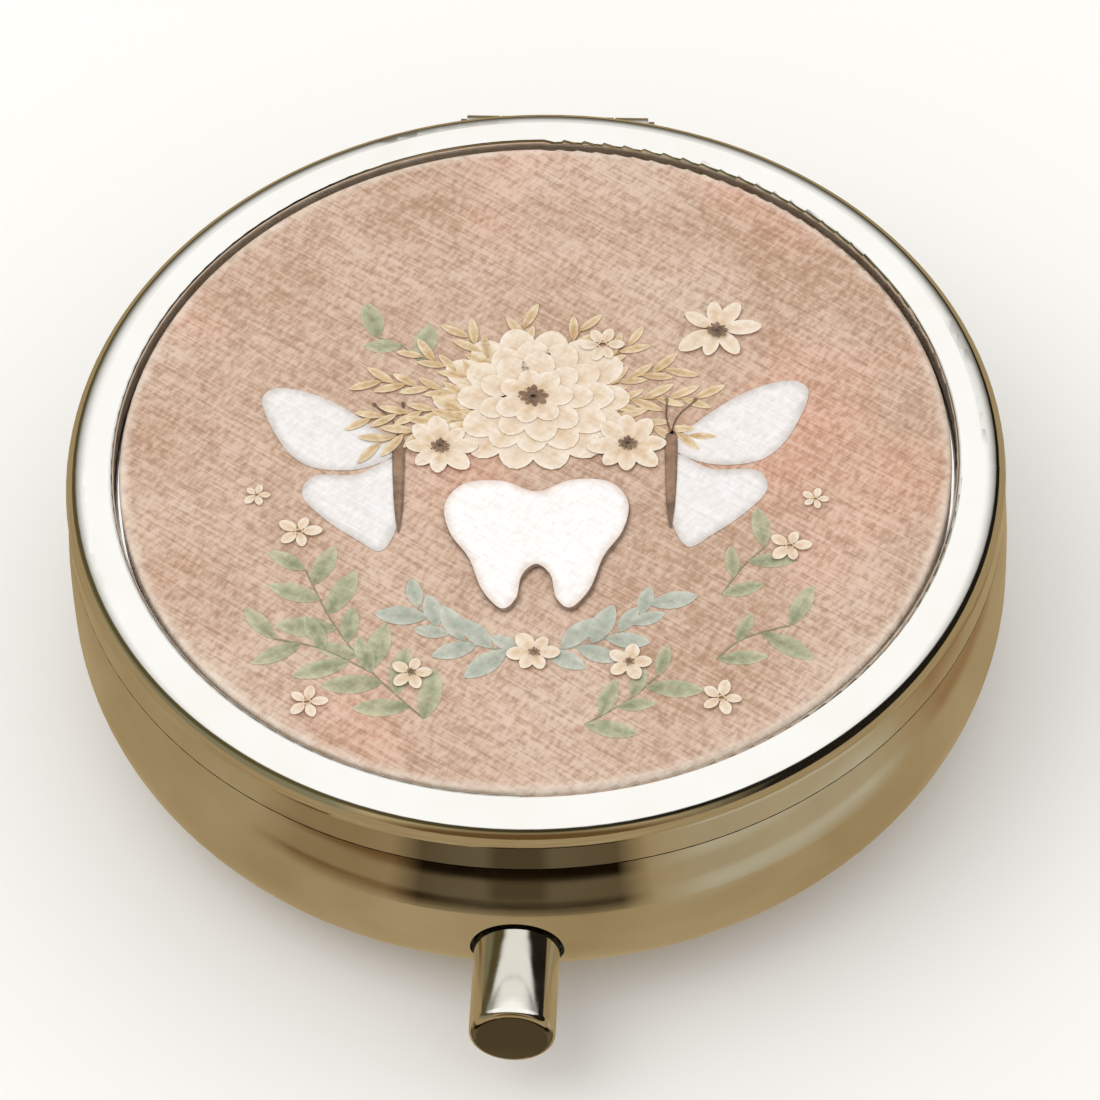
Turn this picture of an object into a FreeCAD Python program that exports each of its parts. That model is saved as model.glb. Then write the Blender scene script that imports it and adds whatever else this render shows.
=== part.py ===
import FreeCAD, Part
import math
import os

import Sketcher

# Round push-button pill box, about 50 mm across.  Millimetres, +Z up, -Y is the front.
# The origin is the centre of the underside, where the box stands on a table.

DIMENSIONS = [
    # drawn steel shells
    ("base_radius", 25.0, "outside radius of the base at its belly"),
    ("lid_inset", 0.2, "lid band inside the base's belly"),
    ("total_height", 15.4, "underside of the base to the crest of the lid crown"),
    ("lid_height", 3.1, "crest of the lid crown down to the top edge of the base shell"),
    ("seam_gap", 0.08, "gap between the base shell and the lid band"),
    ("sheet_wall", 0.4, "sheet thickness of both drawn shells"),
    ("base_bend", 6.5, "outside radius of the bend between underside and wall"),
    ("lean_height", 3.8, "height of the wall's stretch that leans in to the seam"),
    ("foot_width", 6.2, "width of the flat ring that the box stands on"),
    ("foot_recess", 0.35, "depth of the pressed recess inside the foot ring"),
    ("foot_slope", 0.8, "width of the sloping step of that recess"),
    # lid crown and the sunk panel inside it
    ("crown_round", 1.3, "outside rounding of the crown"),
    ("crown_width", 2.6, "width of the crown seen from above"),
    ("crown_inner_round", 0.32, "rounding at the inner edge of the crown"),
    ("recess_depth", 1.45, "crest of the crown down to the sunk panel"),
    ("recess_slope", 0.12, "run of the sloping wall inside the crown"),
    # printed insert and its adhesive
    ("insert_gap", 0.13, "gap between the insert and the foot of the sloping wall"),
    ("insert_sheet", 0.95, "thickness of the printed insert"),
    ("insert_round", 0.25, "rounding of the insert's top edge"),
    ("glue_sheet", 0.15, "thickness of the adhesive disc"),
    ("glue_margin", 0.6, "how far the adhesive stays inside the insert's edge"),
    # inner collar of the base
    ("collar_sheet", 0.35, "sheet thickness of the collar"),
    ("collar_fit", 0.02, "gap between the collar and the base rim"),
    ("collar_clearance", 0.18, "gap between the collar and the lid band"),
    ("collar_stand", 0.8, "how far the collar stands above the seam"),
    ("collar_depth", 3.3, "how far the collar reaches below the seam"),
    ("collar_step", 0.3, "height of the collar's stepped stretch"),
    # liner pan inside the lid
    ("liner_gap", 0.97, "gap between the liner pan and the collar"),
    ("liner_sheet", 0.3, "sheet thickness of the liner pan"),
    ("liner_depth", 0.75, "sunk panel's underside down to the liner's face"),
    ("liner_border", 5.9, "width of the liner's border round its raised centre"),
    ("liner_emboss", 0.2, "height of the liner's raised centre"),
    ("stack_gap", 0.02, "gap between pieces stacked under the lid panel"),
    # hinge
    ("hinge_setback", 0.2, "hinge axis outside the base's belly"),
    ("hinge_width", 10.0, "length of the hinge barrel"),
    ("knuckle_radius", 0.95, "outside radius of the rolled knuckles"),
    ("pin_radius", 0.5, "radius of the hinge pin"),
    ("pin_head_margin", 0.25, "how far the pin's peened ends spread past it"),
    ("pin_head_length", 0.3, "length of each peened end"),
    ("pin_clearance", 0.04, "radial gap between pin and knuckles"),
    ("knuckle_gap", 0.1, "side gap between knuckles"),
    ("outer_knuckle", 1.8, "length of each outer knuckle"),
    ("inner_knuckle", 1.6, "length of each inner knuckle"),
    ("leaf_sheet", 0.4, "sheet thickness of the hinge leaves"),
    ("leaf_reach", 4.6, "lid leaf's length inward of the barrel"),
    ("tail_width", 4.4, "width of the base leaf's tail"),
    ("tail_drop", 3.0, "length of the base leaf's tail"),
    ("tail_fit", 0.06, "gap between the tail and the collar at its corners"),
    ("notch_side", 0.25, "side gap round the hinge in the shells"),
    ("notch_gap", 0.08, "gap above and below the hinge in the shells"),
    # rivets
    ("rivet_radius", 0.45, "shank radius of the rivets"),
    ("rivet_head", 0.8, "head radius of the rivets"),
    ("rivet_dome", 0.3, "head height of the rivets"),
    ("rivet_fit", 0.02, "gap round the rivet shanks"),
    ("rivet_pitch", 2.8, "distance between the two rivets of a pair"),
    ("rivet_edge", 1.4, "distance of the rivets from the end of a leaf or foot"),
    # hinge spring
    ("hinge_wire", 0.14, "wire radius of the hinge spring"),
    ("hinge_coil_gap", 0.08, "gap between the hinge spring's coil and the pin"),
    ("hinge_turns", 6.5, "turns of the hinge spring"),
    ("hinge_coil_length", 2.28, "length of the hinge spring's coil"),
    ("leg_reach", 1.9, "length of the hinge spring's legs inward of the hinge axis"),
    ("leg_gap", 0.05, "gap between the hinge spring's legs and the leaves"),
    # push button and its shank
    ("button_height", 5.4, "height of the button's axis"),
    ("button_radius", 2.22, "radius of the button"),
    ("button_proud", 5.4, "how far the button stands out of the wall"),
    ("button_round", 0.4, "rounding of the button's front edge"),
    ("button_stroke", 1.2, "how far the button is pressed in"),
    ("button_hole_gap", 0.22, "gap round the button in the base wall"),
    ("guide_clearance", 0.05, "radial gap of the button and shank in the bracket"),
    ("shank_radius", 0.9, "radius of the shank behind the button"),
    ("shank_tail", 1.0, "shank length behind the bracket's rear wall"),
    ("shank_groove", 0.7, "radius of the groove for the clip"),
    # guide bracket
    ("bracket_length", 6.4, "length of the bracket"),
    ("bracket_side", 0.93, "space beside the button inside the bracket"),
    ("bracket_sheet", 0.4, "sheet thickness of the bracket"),
    ("bracket_rim", 0.63, "bracket's height above its front bore"),
    ("bracket_floor_gap", 0.05, "gap between the bracket and the base's floor"),
    # latch slide, clip, washers and return spring
    ("slide_behind", 1.0, "latch slide behind the bracket's front wall"),
    ("slide_sheet", 0.4, "sheet thickness of the latch slide"),
    ("slide_width", 4.4, "width of the latch slide"),
    ("slide_foot", 2.0, "latch slide's reach below the button's axis"),
    ("tooth_gap", 1.5, "latch tooth above the bracket's top"),
    ("tooth_width", 2.4, "width of the latch tooth"),
    ("tooth_reach", 0.3, "how far the tooth stands through the catch"),
    ("tooth_space", 0.27, "gap between the tooth's tip and the collar"),
    ("clip_margin", 0.8, "how far the retaining clip spreads past the shank"),
    ("clip_sheet", 0.35, "thickness of the retaining clip"),
    ("clip_mouth", 1.1, "width of the clip's open side"),
    ("washer_margin", 0.44, "how far the spring washer spreads past the spring"),
    ("washer_sheet", 0.25, "thickness of the spring washer"),
    ("spring_wire", 0.16, "wire radius of the return spring"),
    ("spring_gap", 0.24, "gap between the return spring and the shank"),
    ("spring_turns", 5.5, "turns of the return spring"),
    ("play", 0.05, "end gap between the pieces on the shank"),
    # lid catch
    ("catch_sheet", 0.4, "sheet thickness of the lid catch"),
    ("catch_width", 4.0, "width of the lid catch"),
    ("catch_ahead", 0.3, "gap between the catch and the bracket's front"),
    ("catch_foot", 3.3, "length of the catch's foot under the lid panel"),
    ("catch_bar", 0.95, "height of the bar under the catch window"),
    ("catch_play", 0.05, "gap between the latch tooth and the bar"),
    ("window_width", 2.8, "width of the catch window"),
    ("window_height", 1.1, "height of the catch window"),
    # moulded tray
    ("tray_drop", 0.1, "top of the tray below the seam"),
    ("tray_rim_gap", 0.55, "gap between the tray's rim and the collar"),
    ("tray_rim", 0.8, "thickness of the tray's rim"),
    ("tray_wall", 0.8, "wall of the compartments"),
    ("tray_floor", 0.9, "floor of the compartments"),
    ("tray_lift", 0.1, "gap between the tray and the base's floor"),
    ("tray_overhang", 1.32, "how far the tray's rim stands out over its wall"),
    ("tray_bend_ease", 3.1, "how much tighter the tray's bend is than the base's inside"),
    ("pocket_corner", 1.9, "rounding of the compartments' upright corners"),
    ("pocket_round", 1.6, "rounding at the compartments' floor"),
    ("divider", 1.2, "thickness of the dividers"),
    ("bay_side", 0.6, "gap beside the bracket in the tray's bay"),
    ("bay_end", 0.8, "gap behind the pressed shank in the tray's bay"),
    ("bay_slot_gap", 0.6, "gap round the catch in the tray's slot"),
]

doc = FreeCAD.newDocument("pill_box")
sheet = doc.addObject("Spreadsheet::Sheet", "dims")
for row, (alias, size, note) in enumerate(DIMENSIONS, start=1):
    sheet.set("A%d" % row, alias)
    sheet.set("B%d" % row, str(size))
    sheet.set("C%d" % row, note)
    sheet.setAlias("B%d" % row, alias)
doc.recompute()

# Heights and distances that several pieces share, written in the sheet's sizes.
LID_RADIUS = "(dims.base_radius - dims.lid_inset)"
SEAM = "(dims.total_height - dims.lid_height)"
BELLY_TOP = "(%s - dims.lean_height)" % SEAM
BEND_START = "(dims.base_radius - dims.base_bend)"
FOOT_RADIUS = "(%s - dims.foot_width)" % BEND_START
PANEL_TOP = "(dims.total_height - dims.recess_depth)"
PANEL_UNDER = "(dims.total_height - dims.recess_depth - dims.sheet_wall)"
CREST_EDGE = "(%s - dims.crown_width)" % LID_RADIUS
PANEL_RADIUS = "(%s - dims.recess_slope)" % CREST_EDGE
BAND_FOOT = "(%s + dims.seam_gap)" % SEAM
BAND_INSIDE = "(%s - dims.sheet_wall)" % LID_RADIUS
INSERT_RADIUS = "(%s - dims.insert_gap)" % PANEL_RADIUS
INSERT_UNDER = "(%s + dims.glue_sheet)" % PANEL_TOP
FLOOR_TOP = "(dims.foot_recess + dims.sheet_wall)"
COLLAR_OUTSIDE = "(%s - dims.collar_fit)" % BAND_INSIDE
COLLAR_STAND = "(%s - dims.collar_clearance)" % BAND_INSIDE
COLLAR_TOP = "(%s + dims.collar_stand)" % SEAM
COLLAR_FOOT = "(%s - dims.collar_depth)" % SEAM
COLLAR_INSIDE = "(%s - dims.collar_sheet)" % COLLAR_STAND
LINER_RADIUS = "(%s - dims.liner_gap)" % COLLAR_INSIDE
LEAF_UNDER = "(%s - dims.leaf_sheet)" % PANEL_UNDER
LINER_FACE = "(%s - dims.liner_depth)" % PANEL_UNDER
HINGE_Y = "(dims.base_radius + dims.hinge_setback)"
HINGE_Z = "(%s - dims.knuckle_radius)" % PANEL_UNDER
STRAP_UNDER = "(%s - dims.knuckle_radius)" % HINGE_Z
STRAP_TOP = "(%s + dims.leaf_sheet)" % STRAP_UNDER
KNUCKLE_BORE = "(dims.pin_radius + dims.pin_clearance)"
INNER_START = "(dims.hinge_width / 2 - dims.outer_knuckle - dims.knuckle_gap)"
INNER_END = "(%s - dims.inner_knuckle)" % INNER_START
NOTCH_HALF = "(dims.hinge_width / 2 + dims.notch_side)"
TAIL_OUTSIDE = ("(sqrt(pow(%s - dims.collar_sheet; 2) - pow(dims.tail_width / 2; 2)) - dims.tail_fit)"
                % COLLAR_OUTSIDE)
TAIL_INSIDE = "(%s - dims.leaf_sheet)" % TAIL_OUTSIDE
TAIL_FOOT = "(%s - dims.tail_drop)" % STRAP_UNDER
LEAF_END = "(%s - dims.knuckle_radius - dims.leaf_reach)" % HINGE_Y
LID_RIVET_Y = "(%s + dims.rivet_edge)" % LEAF_END
TAIL_RIVET_Z = "(%s - dims.tail_drop / 2)" % STRAP_UNDER
RIVET_BORE = "(dims.rivet_radius + dims.rivet_fit)"
RIVET_X = "(dims.rivet_pitch / 2)"
TOOTH_TIP = "(dims.tooth_space - %s)" % COLLAR_INSIDE
CATCH_FACE = "(%s + dims.tooth_reach)" % TOOTH_TIP
CATCH_BACK = "(%s + dims.catch_sheet)" % CATCH_FACE
BRACKET_Y = "(%s + dims.catch_ahead)" % CATCH_BACK
BRACKET_END = "(%s + dims.bracket_length)" % BRACKET_Y
BRACKET_FOOT = "(dims.sheet_wall + dims.bracket_floor_gap)"
BRACKET_HALF = ("(dims.button_radius + dims.guide_clearance + dims.bracket_side + dims.bracket_sheet)")
BRACKET_HEEL = "(-sqrt(pow(%s; 2) - pow(%s; 2)))" % (BEND_START, BRACKET_HALF)
BRACKET_TOE = ("(dims.base_bend + 2 * dims.bracket_floor_gap - sqrt(pow(dims.base_bend - dims.sheet_wall; 2)"
               " - pow(sqrt(pow(%s; 2) + pow(%s; 2)) - %s; 2)))" % (BRACKET_Y, BRACKET_HALF, BEND_START))
BRACKET_TOP = "(dims.button_height + dims.button_radius + dims.guide_clearance + dims.bracket_rim)"
BUTTON_FACE = "(-dims.base_radius - dims.button_proud)"
SLIDE_Y = "(%s + dims.bracket_sheet + dims.slide_behind)" % BRACKET_Y
SLIDE_BACK = "(%s + dims.slide_sheet)" % SLIDE_Y
SHANK_BORE = "(dims.shank_radius + dims.guide_clearance)"
SHANK_END = "(%s + dims.shank_tail)" % BRACKET_END
CLIP_Y = "(%s + dims.play)" % BRACKET_END
WASHER_Y = "(%s - dims.bracket_sheet - dims.play - dims.washer_sheet)" % BRACKET_END
SPRING_MEAN = "(dims.shank_radius + dims.spring_gap + dims.spring_wire)"
HINGE_COIL = "(dims.pin_radius + dims.hinge_coil_gap + dims.hinge_wire)"
TOOTH_UNDER = "(%s + dims.tooth_gap)" % BRACKET_TOP
TOOTH_TOP = "(%s + dims.slide_sheet)" % TOOTH_UNDER
WINDOW_FOOT = "(%s - dims.catch_play)" % TOOTH_UNDER
CATCH_RIVET_Y = "(%s + dims.catch_foot - dims.rivet_edge)" % CATCH_BACK
TRAY_RIM_RADIUS = "(%s - dims.tray_rim_gap)" % COLLAR_INSIDE
TRAY_TOP = "(%s - dims.tray_drop)" % SEAM
TRAY_OUTSIDE = "(%s - dims.tray_overhang)" % TRAY_RIM_RADIUS
TRAY_ROUND = "(dims.base_bend - dims.sheet_wall - dims.tray_bend_ease)"
POCKET_RADIUS = "(%s - dims.tray_wall)" % TRAY_OUTSIDE
TRAY_UNDER = "(%s + dims.tray_lift)" % FLOOR_TOP
POCKET_FLOOR = "(%s + dims.tray_floor)" % TRAY_UNDER
BAY_HALF = "(%s + dims.bay_side)" % BRACKET_HALF
BAY_BACK = "(%s + dims.button_stroke + dims.bay_end)" % SHANK_END
SLOT_HALF = "(dims.catch_width / 2 + dims.bay_slot_gap)"


def value(expression):
    """Number that an expression of sheet sizes gives."""
    return float(sheet.evalExpression(expression))


def bind(piece, **expressions):
    """Bind properties of a piece to expressions; __ stands for a dot in a property path."""
    for path, expression in expressions.items():
        piece.setExpression(path.replace("__", "."), expression)
    return piece


def block(label, x_low, x_high, y_low, y_high, z_low, z_high):
    """Rectangular block between two corners given as expressions."""
    piece = doc.addObject("Part::Box", label)
    bind(piece, Length="%s - (%s)" % (x_high, x_low), Width="%s - (%s)" % (y_high, y_low),
         Height="%s - (%s)" % (z_high, z_low))
    return bind(piece, Placement__Base__x=x_low, Placement__Base__y=y_low, Placement__Base__z=z_low)


def rod(label, axis, radius, start, end, x="0", y="0", z="0"):
    """Round bar along an axis from start to end, with its centre line at the other two places."""
    turns = {"x": FreeCAD.Rotation(FreeCAD.Vector(0, 1, 0), 90),
             "y": FreeCAD.Rotation(FreeCAD.Vector(1, 0, 0), -90),
             "z": FreeCAD.Rotation()}
    places = {"x": x, "y": y, "z": z}
    places[axis] = start
    piece = doc.addObject("Part::Cylinder", label)
    piece.Placement = FreeCAD.Placement(FreeCAD.Vector(), turns[axis])
    bind(piece, Radius=radius, Height="%s - (%s)" % (end, start))
    return bind(piece, Placement__Base__x=places["x"], Placement__Base__y=places["y"],
                Placement__Base__z=places["z"])


def fuse(label, *pieces):
    """Union of pieces."""
    union = doc.addObject("Part::MultiFuse", label)
    union.Shapes = list(pieces)
    union.Refine = True
    return union


def common(label, *pieces):
    """What all the pieces share."""
    shared = doc.addObject("Part::MultiCommon", label)
    shared.Shapes = list(pieces)
    return shared


def cut(label, piece, *tools):
    """Piece with the tools taken away."""
    tool = tools[0] if len(tools) == 1 else fuse(label + "_cutters", *tools)
    result = doc.addObject("Part::Cut", label)
    result.Base = piece
    result.Tool = tool
    return result


def tube(label, axis, outside, inside, start, end, x="0", y="0", z="0"):
    """Round bar with a bore through it."""
    return cut(label, rod(label + "_bar", axis, outside, start, end, x, y, z),
               rod(label + "_bore", axis, inside, start, end, x, y, z))


def origin_plane(body, role):
    """One of a body's own origin planes."""
    return next(item for item in body.Origin.OriginFeatures if item.Role == role)


def arc_between(start, end, radius, centre_left):
    """Arc of a radius from start to end, and the order in which it holds its two ends."""
    chord = end - start
    rise = math.sqrt(radius ** 2 - (chord.Length / 2) ** 2)
    left = FreeCAD.Vector(-chord.y, chord.x, 0).normalize()
    centre = (start + end) * 0.5 + left * (rise if centre_left else -rise)
    first, last = (start, end) if centre_left else (end, start)
    angles = [math.atan2(point.y - centre.y, point.x - centre.x) for point in (first, last)]
    if angles[1] < angles[0]:
        angles[1] += 2 * math.pi
    circle = Part.Circle(centre, FreeCAD.Vector(0, 0, 1), radius)
    return Part.ArcOfCircle(circle, *angles), (1, 2) if centre_left else (2, 1)


def pin_down(sketch, edge, end, across, up):
    """Hold one end of a sketch edge at a place given as expressions."""
    for kind, axis, place in (("DistanceX", -2, across), ("DistanceY", -1, up)):
        size = value(place)
        if abs(size) < 1e-9:
            sketch.addConstraint(Sketcher.Constraint("PointOnObject", edge, end, axis))
            continue
        ends = (-1, 1, edge, end) if size > 0 else (edge, end, -1, 1)
        index = sketch.addConstraint(Sketcher.Constraint(kind, *ends, abs(size)))
        sketch.setExpression("Constraints[%d]" % index, place if size > 0 else "-(%s)" % place)


def outline(body, plane, corners):
    """Closed sketch on an origin plane.  A corner is (across, up), or (across, up, radius,
    side) where the edge that leaves it is an arc with its centre on that side."""
    sketch = body.newObject("Sketcher::SketchObject", body.Label + "_outline")
    sketch.AttachmentSupport = [(origin_plane(body, plane), "")]
    sketch.MapMode = "FlatFace"
    points = [FreeCAD.Vector(value(corner[0]), value(corner[1]), 0) for corner in corners]
    ends = []
    for index, corner in enumerate(corners):
        start, end = points[index], points[(index + 1) % len(points)]
        if len(corner) == 2:
            sketch.addGeometry(Part.LineSegment(start, end), False)
            ends.append((1, 2))
        else:
            arc, order = arc_between(start, end, value(corner[2]), corner[3] == "left")
            sketch.addGeometry(arc, False)
            ends.append(order)
    for index, corner in enumerate(corners):
        following = (index + 1) % len(corners)
        sketch.addConstraint(Sketcher.Constraint("Coincident", index, ends[index][1],
                                                 following, ends[following][0]))
        pin_down(sketch, index, ends[index][0], corner[0], corner[1])
        if len(corner) > 2:
            radius = sketch.addConstraint(Sketcher.Constraint("Radius", index, value(corner[2])))
            sketch.setExpression("Constraints[%d]" % radius, corner[2])
    return sketch


def turned(label, corners, plane="XZ_Plane", axis="V_Axis"):
    """Body made by turning a closed outline a full turn about a sketch axis."""
    body = doc.addObject("PartDesign::Body", label)
    sketch = outline(body, plane, corners)
    doc.recompute()
    turn = body.newObject("PartDesign::Revolution", label + "_turn")
    turn.Profile = sketch
    turn.ReferenceAxis = (sketch, [axis])
    turn.Angle = 360
    doc.recompute()
    return body


def ring_edges(shape, radius, height):
    """Names of the round edges about Z with a radius and a height."""
    names = []
    for index, edge in enumerate(shape.Edges, start=1):
        curve = edge.Curve
        if (isinstance(curve, Part.Circle) and abs(curve.Radius - radius) < 1e-4
                and abs(curve.Center.z - height) < 1e-4):
            names.append("Edge%d" % index)
    return names


def round_ring(body, radius, height, rounding):
    """Round the edge of a turned body that runs about Z at a radius and a height."""
    doc.recompute()
    base = body.Tip
    fillet = body.newObject("PartDesign::Fillet", body.Label + "_round")
    fillet.Base = (base, ring_edges(base.Shape, value(radius), value(height)))
    fillet.setExpression("Radius", rounding)
    doc.recompute()


def base_shell():
    """Drawn cup with a rounded underside, the button's hole and the hinge notch."""
    belly_arc = "((pow(dims.lean_height; 2) + pow(dims.lid_inset; 2)) / (2 * dims.lid_inset))"
    inside = "(dims.base_radius - dims.sheet_wall)"
    body = turned("base_shell_cup", [
        ("0", "dims.foot_recess"),
        ("%s - dims.foot_slope" % FOOT_RADIUS, "dims.foot_recess"),
        (FOOT_RADIUS, "0"),
        (BEND_START, "0", "dims.base_bend", "left"),
        ("dims.base_radius", "dims.base_bend"),
        ("dims.base_radius", BELLY_TOP, belly_arc, "left"),
        (LID_RADIUS, SEAM),
        (BAND_INSIDE, SEAM, belly_arc, "right"),
        (inside, BELLY_TOP),
        (inside, "dims.base_bend", "dims.base_bend - dims.sheet_wall", "right"),
        (BEND_START, "dims.sheet_wall"),
        (FOOT_RADIUS, "dims.sheet_wall"),
        ("%s - dims.foot_slope" % FOOT_RADIUS, FLOOR_TOP),
        ("0", FLOOR_TOP)])
    hole = rod("button_hole", "y", "dims.button_radius + dims.button_hole_gap",
               "-dims.base_radius - 2", BRACKET_Y, z="dims.button_height")
    notch = block("base_notch", "-%s" % NOTCH_HALF, NOTCH_HALF, TAIL_INSIDE, "dims.base_radius + 2",
                  "%s - dims.notch_gap" % STRAP_UNDER, "%s + 2" % SEAM)
    return cut("base_shell", body, hole, notch)


def lid_shell():
    """Drawn lid: a band, a rounded crown and a sunk panel, notched for the hinge."""
    inner_bend = "(dims.crown_round - dims.sheet_wall)"
    crown_under = "(dims.total_height - dims.sheet_wall)"
    slope_foot = "(%s + dims.sheet_wall)" % PANEL_RADIUS
    body = turned("lid_shell_cap", [
        ("0", PANEL_TOP),
        (PANEL_RADIUS, PANEL_TOP),
        (CREST_EDGE, "dims.total_height - dims.crown_inner_round", "dims.crown_inner_round", "right"),
        ("%s + dims.crown_inner_round" % CREST_EDGE, "dims.total_height"),
        ("%s - dims.crown_round" % LID_RADIUS, "dims.total_height", "dims.crown_round", "right"),
        (LID_RADIUS, "dims.total_height - dims.crown_round"),
        (LID_RADIUS, BAND_FOOT),
        (BAND_INSIDE, BAND_FOOT),
        (BAND_INSIDE, "dims.total_height - dims.crown_round", inner_bend, "left"),
        ("%s - dims.crown_round" % LID_RADIUS, crown_under),
        ("%s + dims.sheet_wall" % CREST_EDGE, crown_under),
        (slope_foot, PANEL_UNDER),
        ("0", PANEL_UNDER)])
    notch = block("lid_notch", "-%s" % NOTCH_HALF, NOTCH_HALF,
                  "%s + dims.sheet_wall + 0.3" % PANEL_RADIUS, "dims.base_radius + 2",
                  "%s - 2" % BAND_FOOT, "%s + dims.notch_gap" % PANEL_UNDER)
    bores = rivet_bores("lid_panel", LID_RIVET_Y) + rivet_bores("catch_panel", CATCH_RIVET_Y)
    return cut("lid_shell", body, notch, *bores)


def rivet_bores(name, place):
    """Two upright rivet bores side by side."""
    return [rod("%s_bore_%s" % (name, side), "z", RIVET_BORE, "%s - 1" % LINER_FACE,
                "%s + 1" % PANEL_TOP, x=across, y=place)
            for side, across in (("left", "-%s" % RIVET_X), ("right", RIVET_X))]


def insert_plate():
    """Printed metal disc in the lid's recess, with a rounded top edge."""
    top = "(%s + dims.insert_sheet)" % INSERT_UNDER
    return turned("insert_plate", [
        ("0", INSERT_UNDER),
        (INSERT_RADIUS, INSERT_UNDER),
        (INSERT_RADIUS, "%s - dims.insert_round" % top, "dims.insert_round", "left"),
        ("%s - dims.insert_round" % INSERT_RADIUS, top),
        ("0", top)])


def insert_adhesive():
    """Double-sided adhesive disc between the lid's panel and the insert."""
    return rod("insert_adhesive", "z", "%s - dims.glue_margin" % INSERT_RADIUS, PANEL_TOP, INSERT_UNDER)


def lid_liner():
    """Pressed pan that covers the inside of the lid, with a raised centre."""
    plate_top = "(%s + dims.liner_sheet)" % LINER_FACE
    emboss_edge = "(%s - dims.liner_border + dims.liner_emboss)" % LINER_RADIUS
    emboss_radius = "(%s - dims.liner_border)" % LINER_RADIUS
    rim_inside = "(%s - dims.liner_sheet)" % LINER_RADIUS
    rim_top = "(%s - dims.stack_gap)" % PANEL_UNDER
    body = turned("lid_liner_pan", [
        ("0", "%s + dims.liner_emboss" % LINER_FACE),
        (emboss_radius, "%s + dims.liner_emboss" % LINER_FACE),
        (emboss_edge, LINER_FACE),
        (LINER_RADIUS, LINER_FACE),
        (LINER_RADIUS, rim_top),
        (rim_inside, rim_top),
        (rim_inside, plate_top),
        (emboss_edge, plate_top),
        (emboss_radius, "%s + dims.liner_emboss" % plate_top),
        ("0", "%s + dims.liner_emboss" % plate_top)])
    round_ring(body, LINER_RADIUS, LINER_FACE, "dims.liner_sheet")
    leaf_notch = block("liner_hinge_notch", "-%s" % NOTCH_HALF, NOTCH_HALF,
                       "%s - dims.notch_side" % rim_inside, "%s + 1" % LINER_RADIUS,
                       plate_top, "%s + 1" % PANEL_UNDER)
    catch_notch = block("liner_catch_notch", "-(%s)" % SLOT_HALF, SLOT_HALF,
                        "-%s - 1" % LINER_RADIUS, "%s + dims.notch_side" % CATCH_BACK,
                        "%s - 1" % LINER_FACE, "%s + 1" % PANEL_UNDER)
    foot_notch = block("liner_foot_notch", "-(%s)" % SLOT_HALF, SLOT_HALF,
                       "-%s - 1" % LINER_RADIUS, "-%s + dims.notch_side" % rim_inside,
                       plate_top, "%s + 1" % PANEL_UNDER)
    bores = rivet_bores("liner_leaf", LID_RIVET_Y) + rivet_bores("liner_catch", CATCH_RIVET_Y)
    return cut("lid_liner", body, leaf_notch, catch_notch, foot_notch, *bores)


def rivet_pair(label, place):
    """Two rivets that clamp the liner and a leaf to the lid's panel, heads inside the lid."""
    solids = []
    for side, across in (("left", "-%s" % RIVET_X), ("right", RIVET_X)):
        shank = rod("%s_shank_%s" % (label, side), "z", "dims.rivet_radius", LINER_FACE,
                    PANEL_TOP, x=across, y=place)
        head = rod("%s_head_%s" % (label, side), "z", "dims.rivet_head",
                   "%s - dims.rivet_dome" % LINER_FACE, LINER_FACE, x=across, y=place)
        solids.append(fuse("%s_%s" % (label, side), shank, head))
    return fuse(label, *solids)


def lid_catch():
    """Folded catch under the front of the lid, with a window for the latch tooth."""
    half = "(dims.catch_width / 2)"
    foot = block("catch_foot_plate", "-%s" % half, half, CATCH_FACE,
                 "%s + dims.catch_foot" % CATCH_BACK, "%s - dims.catch_sheet" % PANEL_UNDER, PANEL_UNDER)
    blade = block("catch_blade", "-%s" % half, half, CATCH_FACE, CATCH_BACK,
                  "%s - dims.catch_bar" % WINDOW_FOOT, PANEL_UNDER)
    window = block("catch_window", "-dims.window_width / 2", "dims.window_width / 2",
                   "%s - 1" % CATCH_FACE, "%s + 1" % CATCH_BACK,
                   WINDOW_FOOT, "%s + dims.window_height" % WINDOW_FOOT)
    return cut("lid_catch", fuse("catch_fold", foot, blade), window,
               *rivet_bores("catch_foot", CATCH_RIVET_Y))


def knuckle(label, start, end):
    """Rolled knuckle on the hinge axis."""
    return rod(label, "x", "dims.knuckle_radius", start, end, y=HINGE_Y, z=HINGE_Z)


def pin_bore(label):
    """Bore for the hinge pin through a leaf's knuckles."""
    return rod(label, "x", KNUCKLE_BORE, "-dims.hinge_width", "dims.hinge_width", y=HINGE_Y, z=HINGE_Z)


def hinge_leaf_lid():
    """Lid's hinge leaf: two inner knuckles, and a plate riveted under the lid's panel."""
    plate = block("lid_leaf_plate", "-%s" % INNER_START, INNER_START, LEAF_END, HINGE_Y,
                  LEAF_UNDER, PANEL_UNDER)
    left = knuckle("lid_knuckle_left", "-%s" % INNER_START, "-%s" % INNER_END)
    right = knuckle("lid_knuckle_right", INNER_END, INNER_START)
    window = block("lid_leaf_window", "-%s" % INNER_END, INNER_END,
                   "%s - dims.knuckle_radius - dims.leaf_sheet" % HINGE_Y, "%s + 2" % HINGE_Y,
                   "%s - 1" % LEAF_UNDER, "%s + 1" % PANEL_UNDER)
    return cut("hinge_leaf_lid", fuse("lid_leaf_solid", plate, left, right), window,
               pin_bore("lid_leaf_bore"), *rivet_bores("lid_leaf", LID_RIVET_Y))


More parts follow.
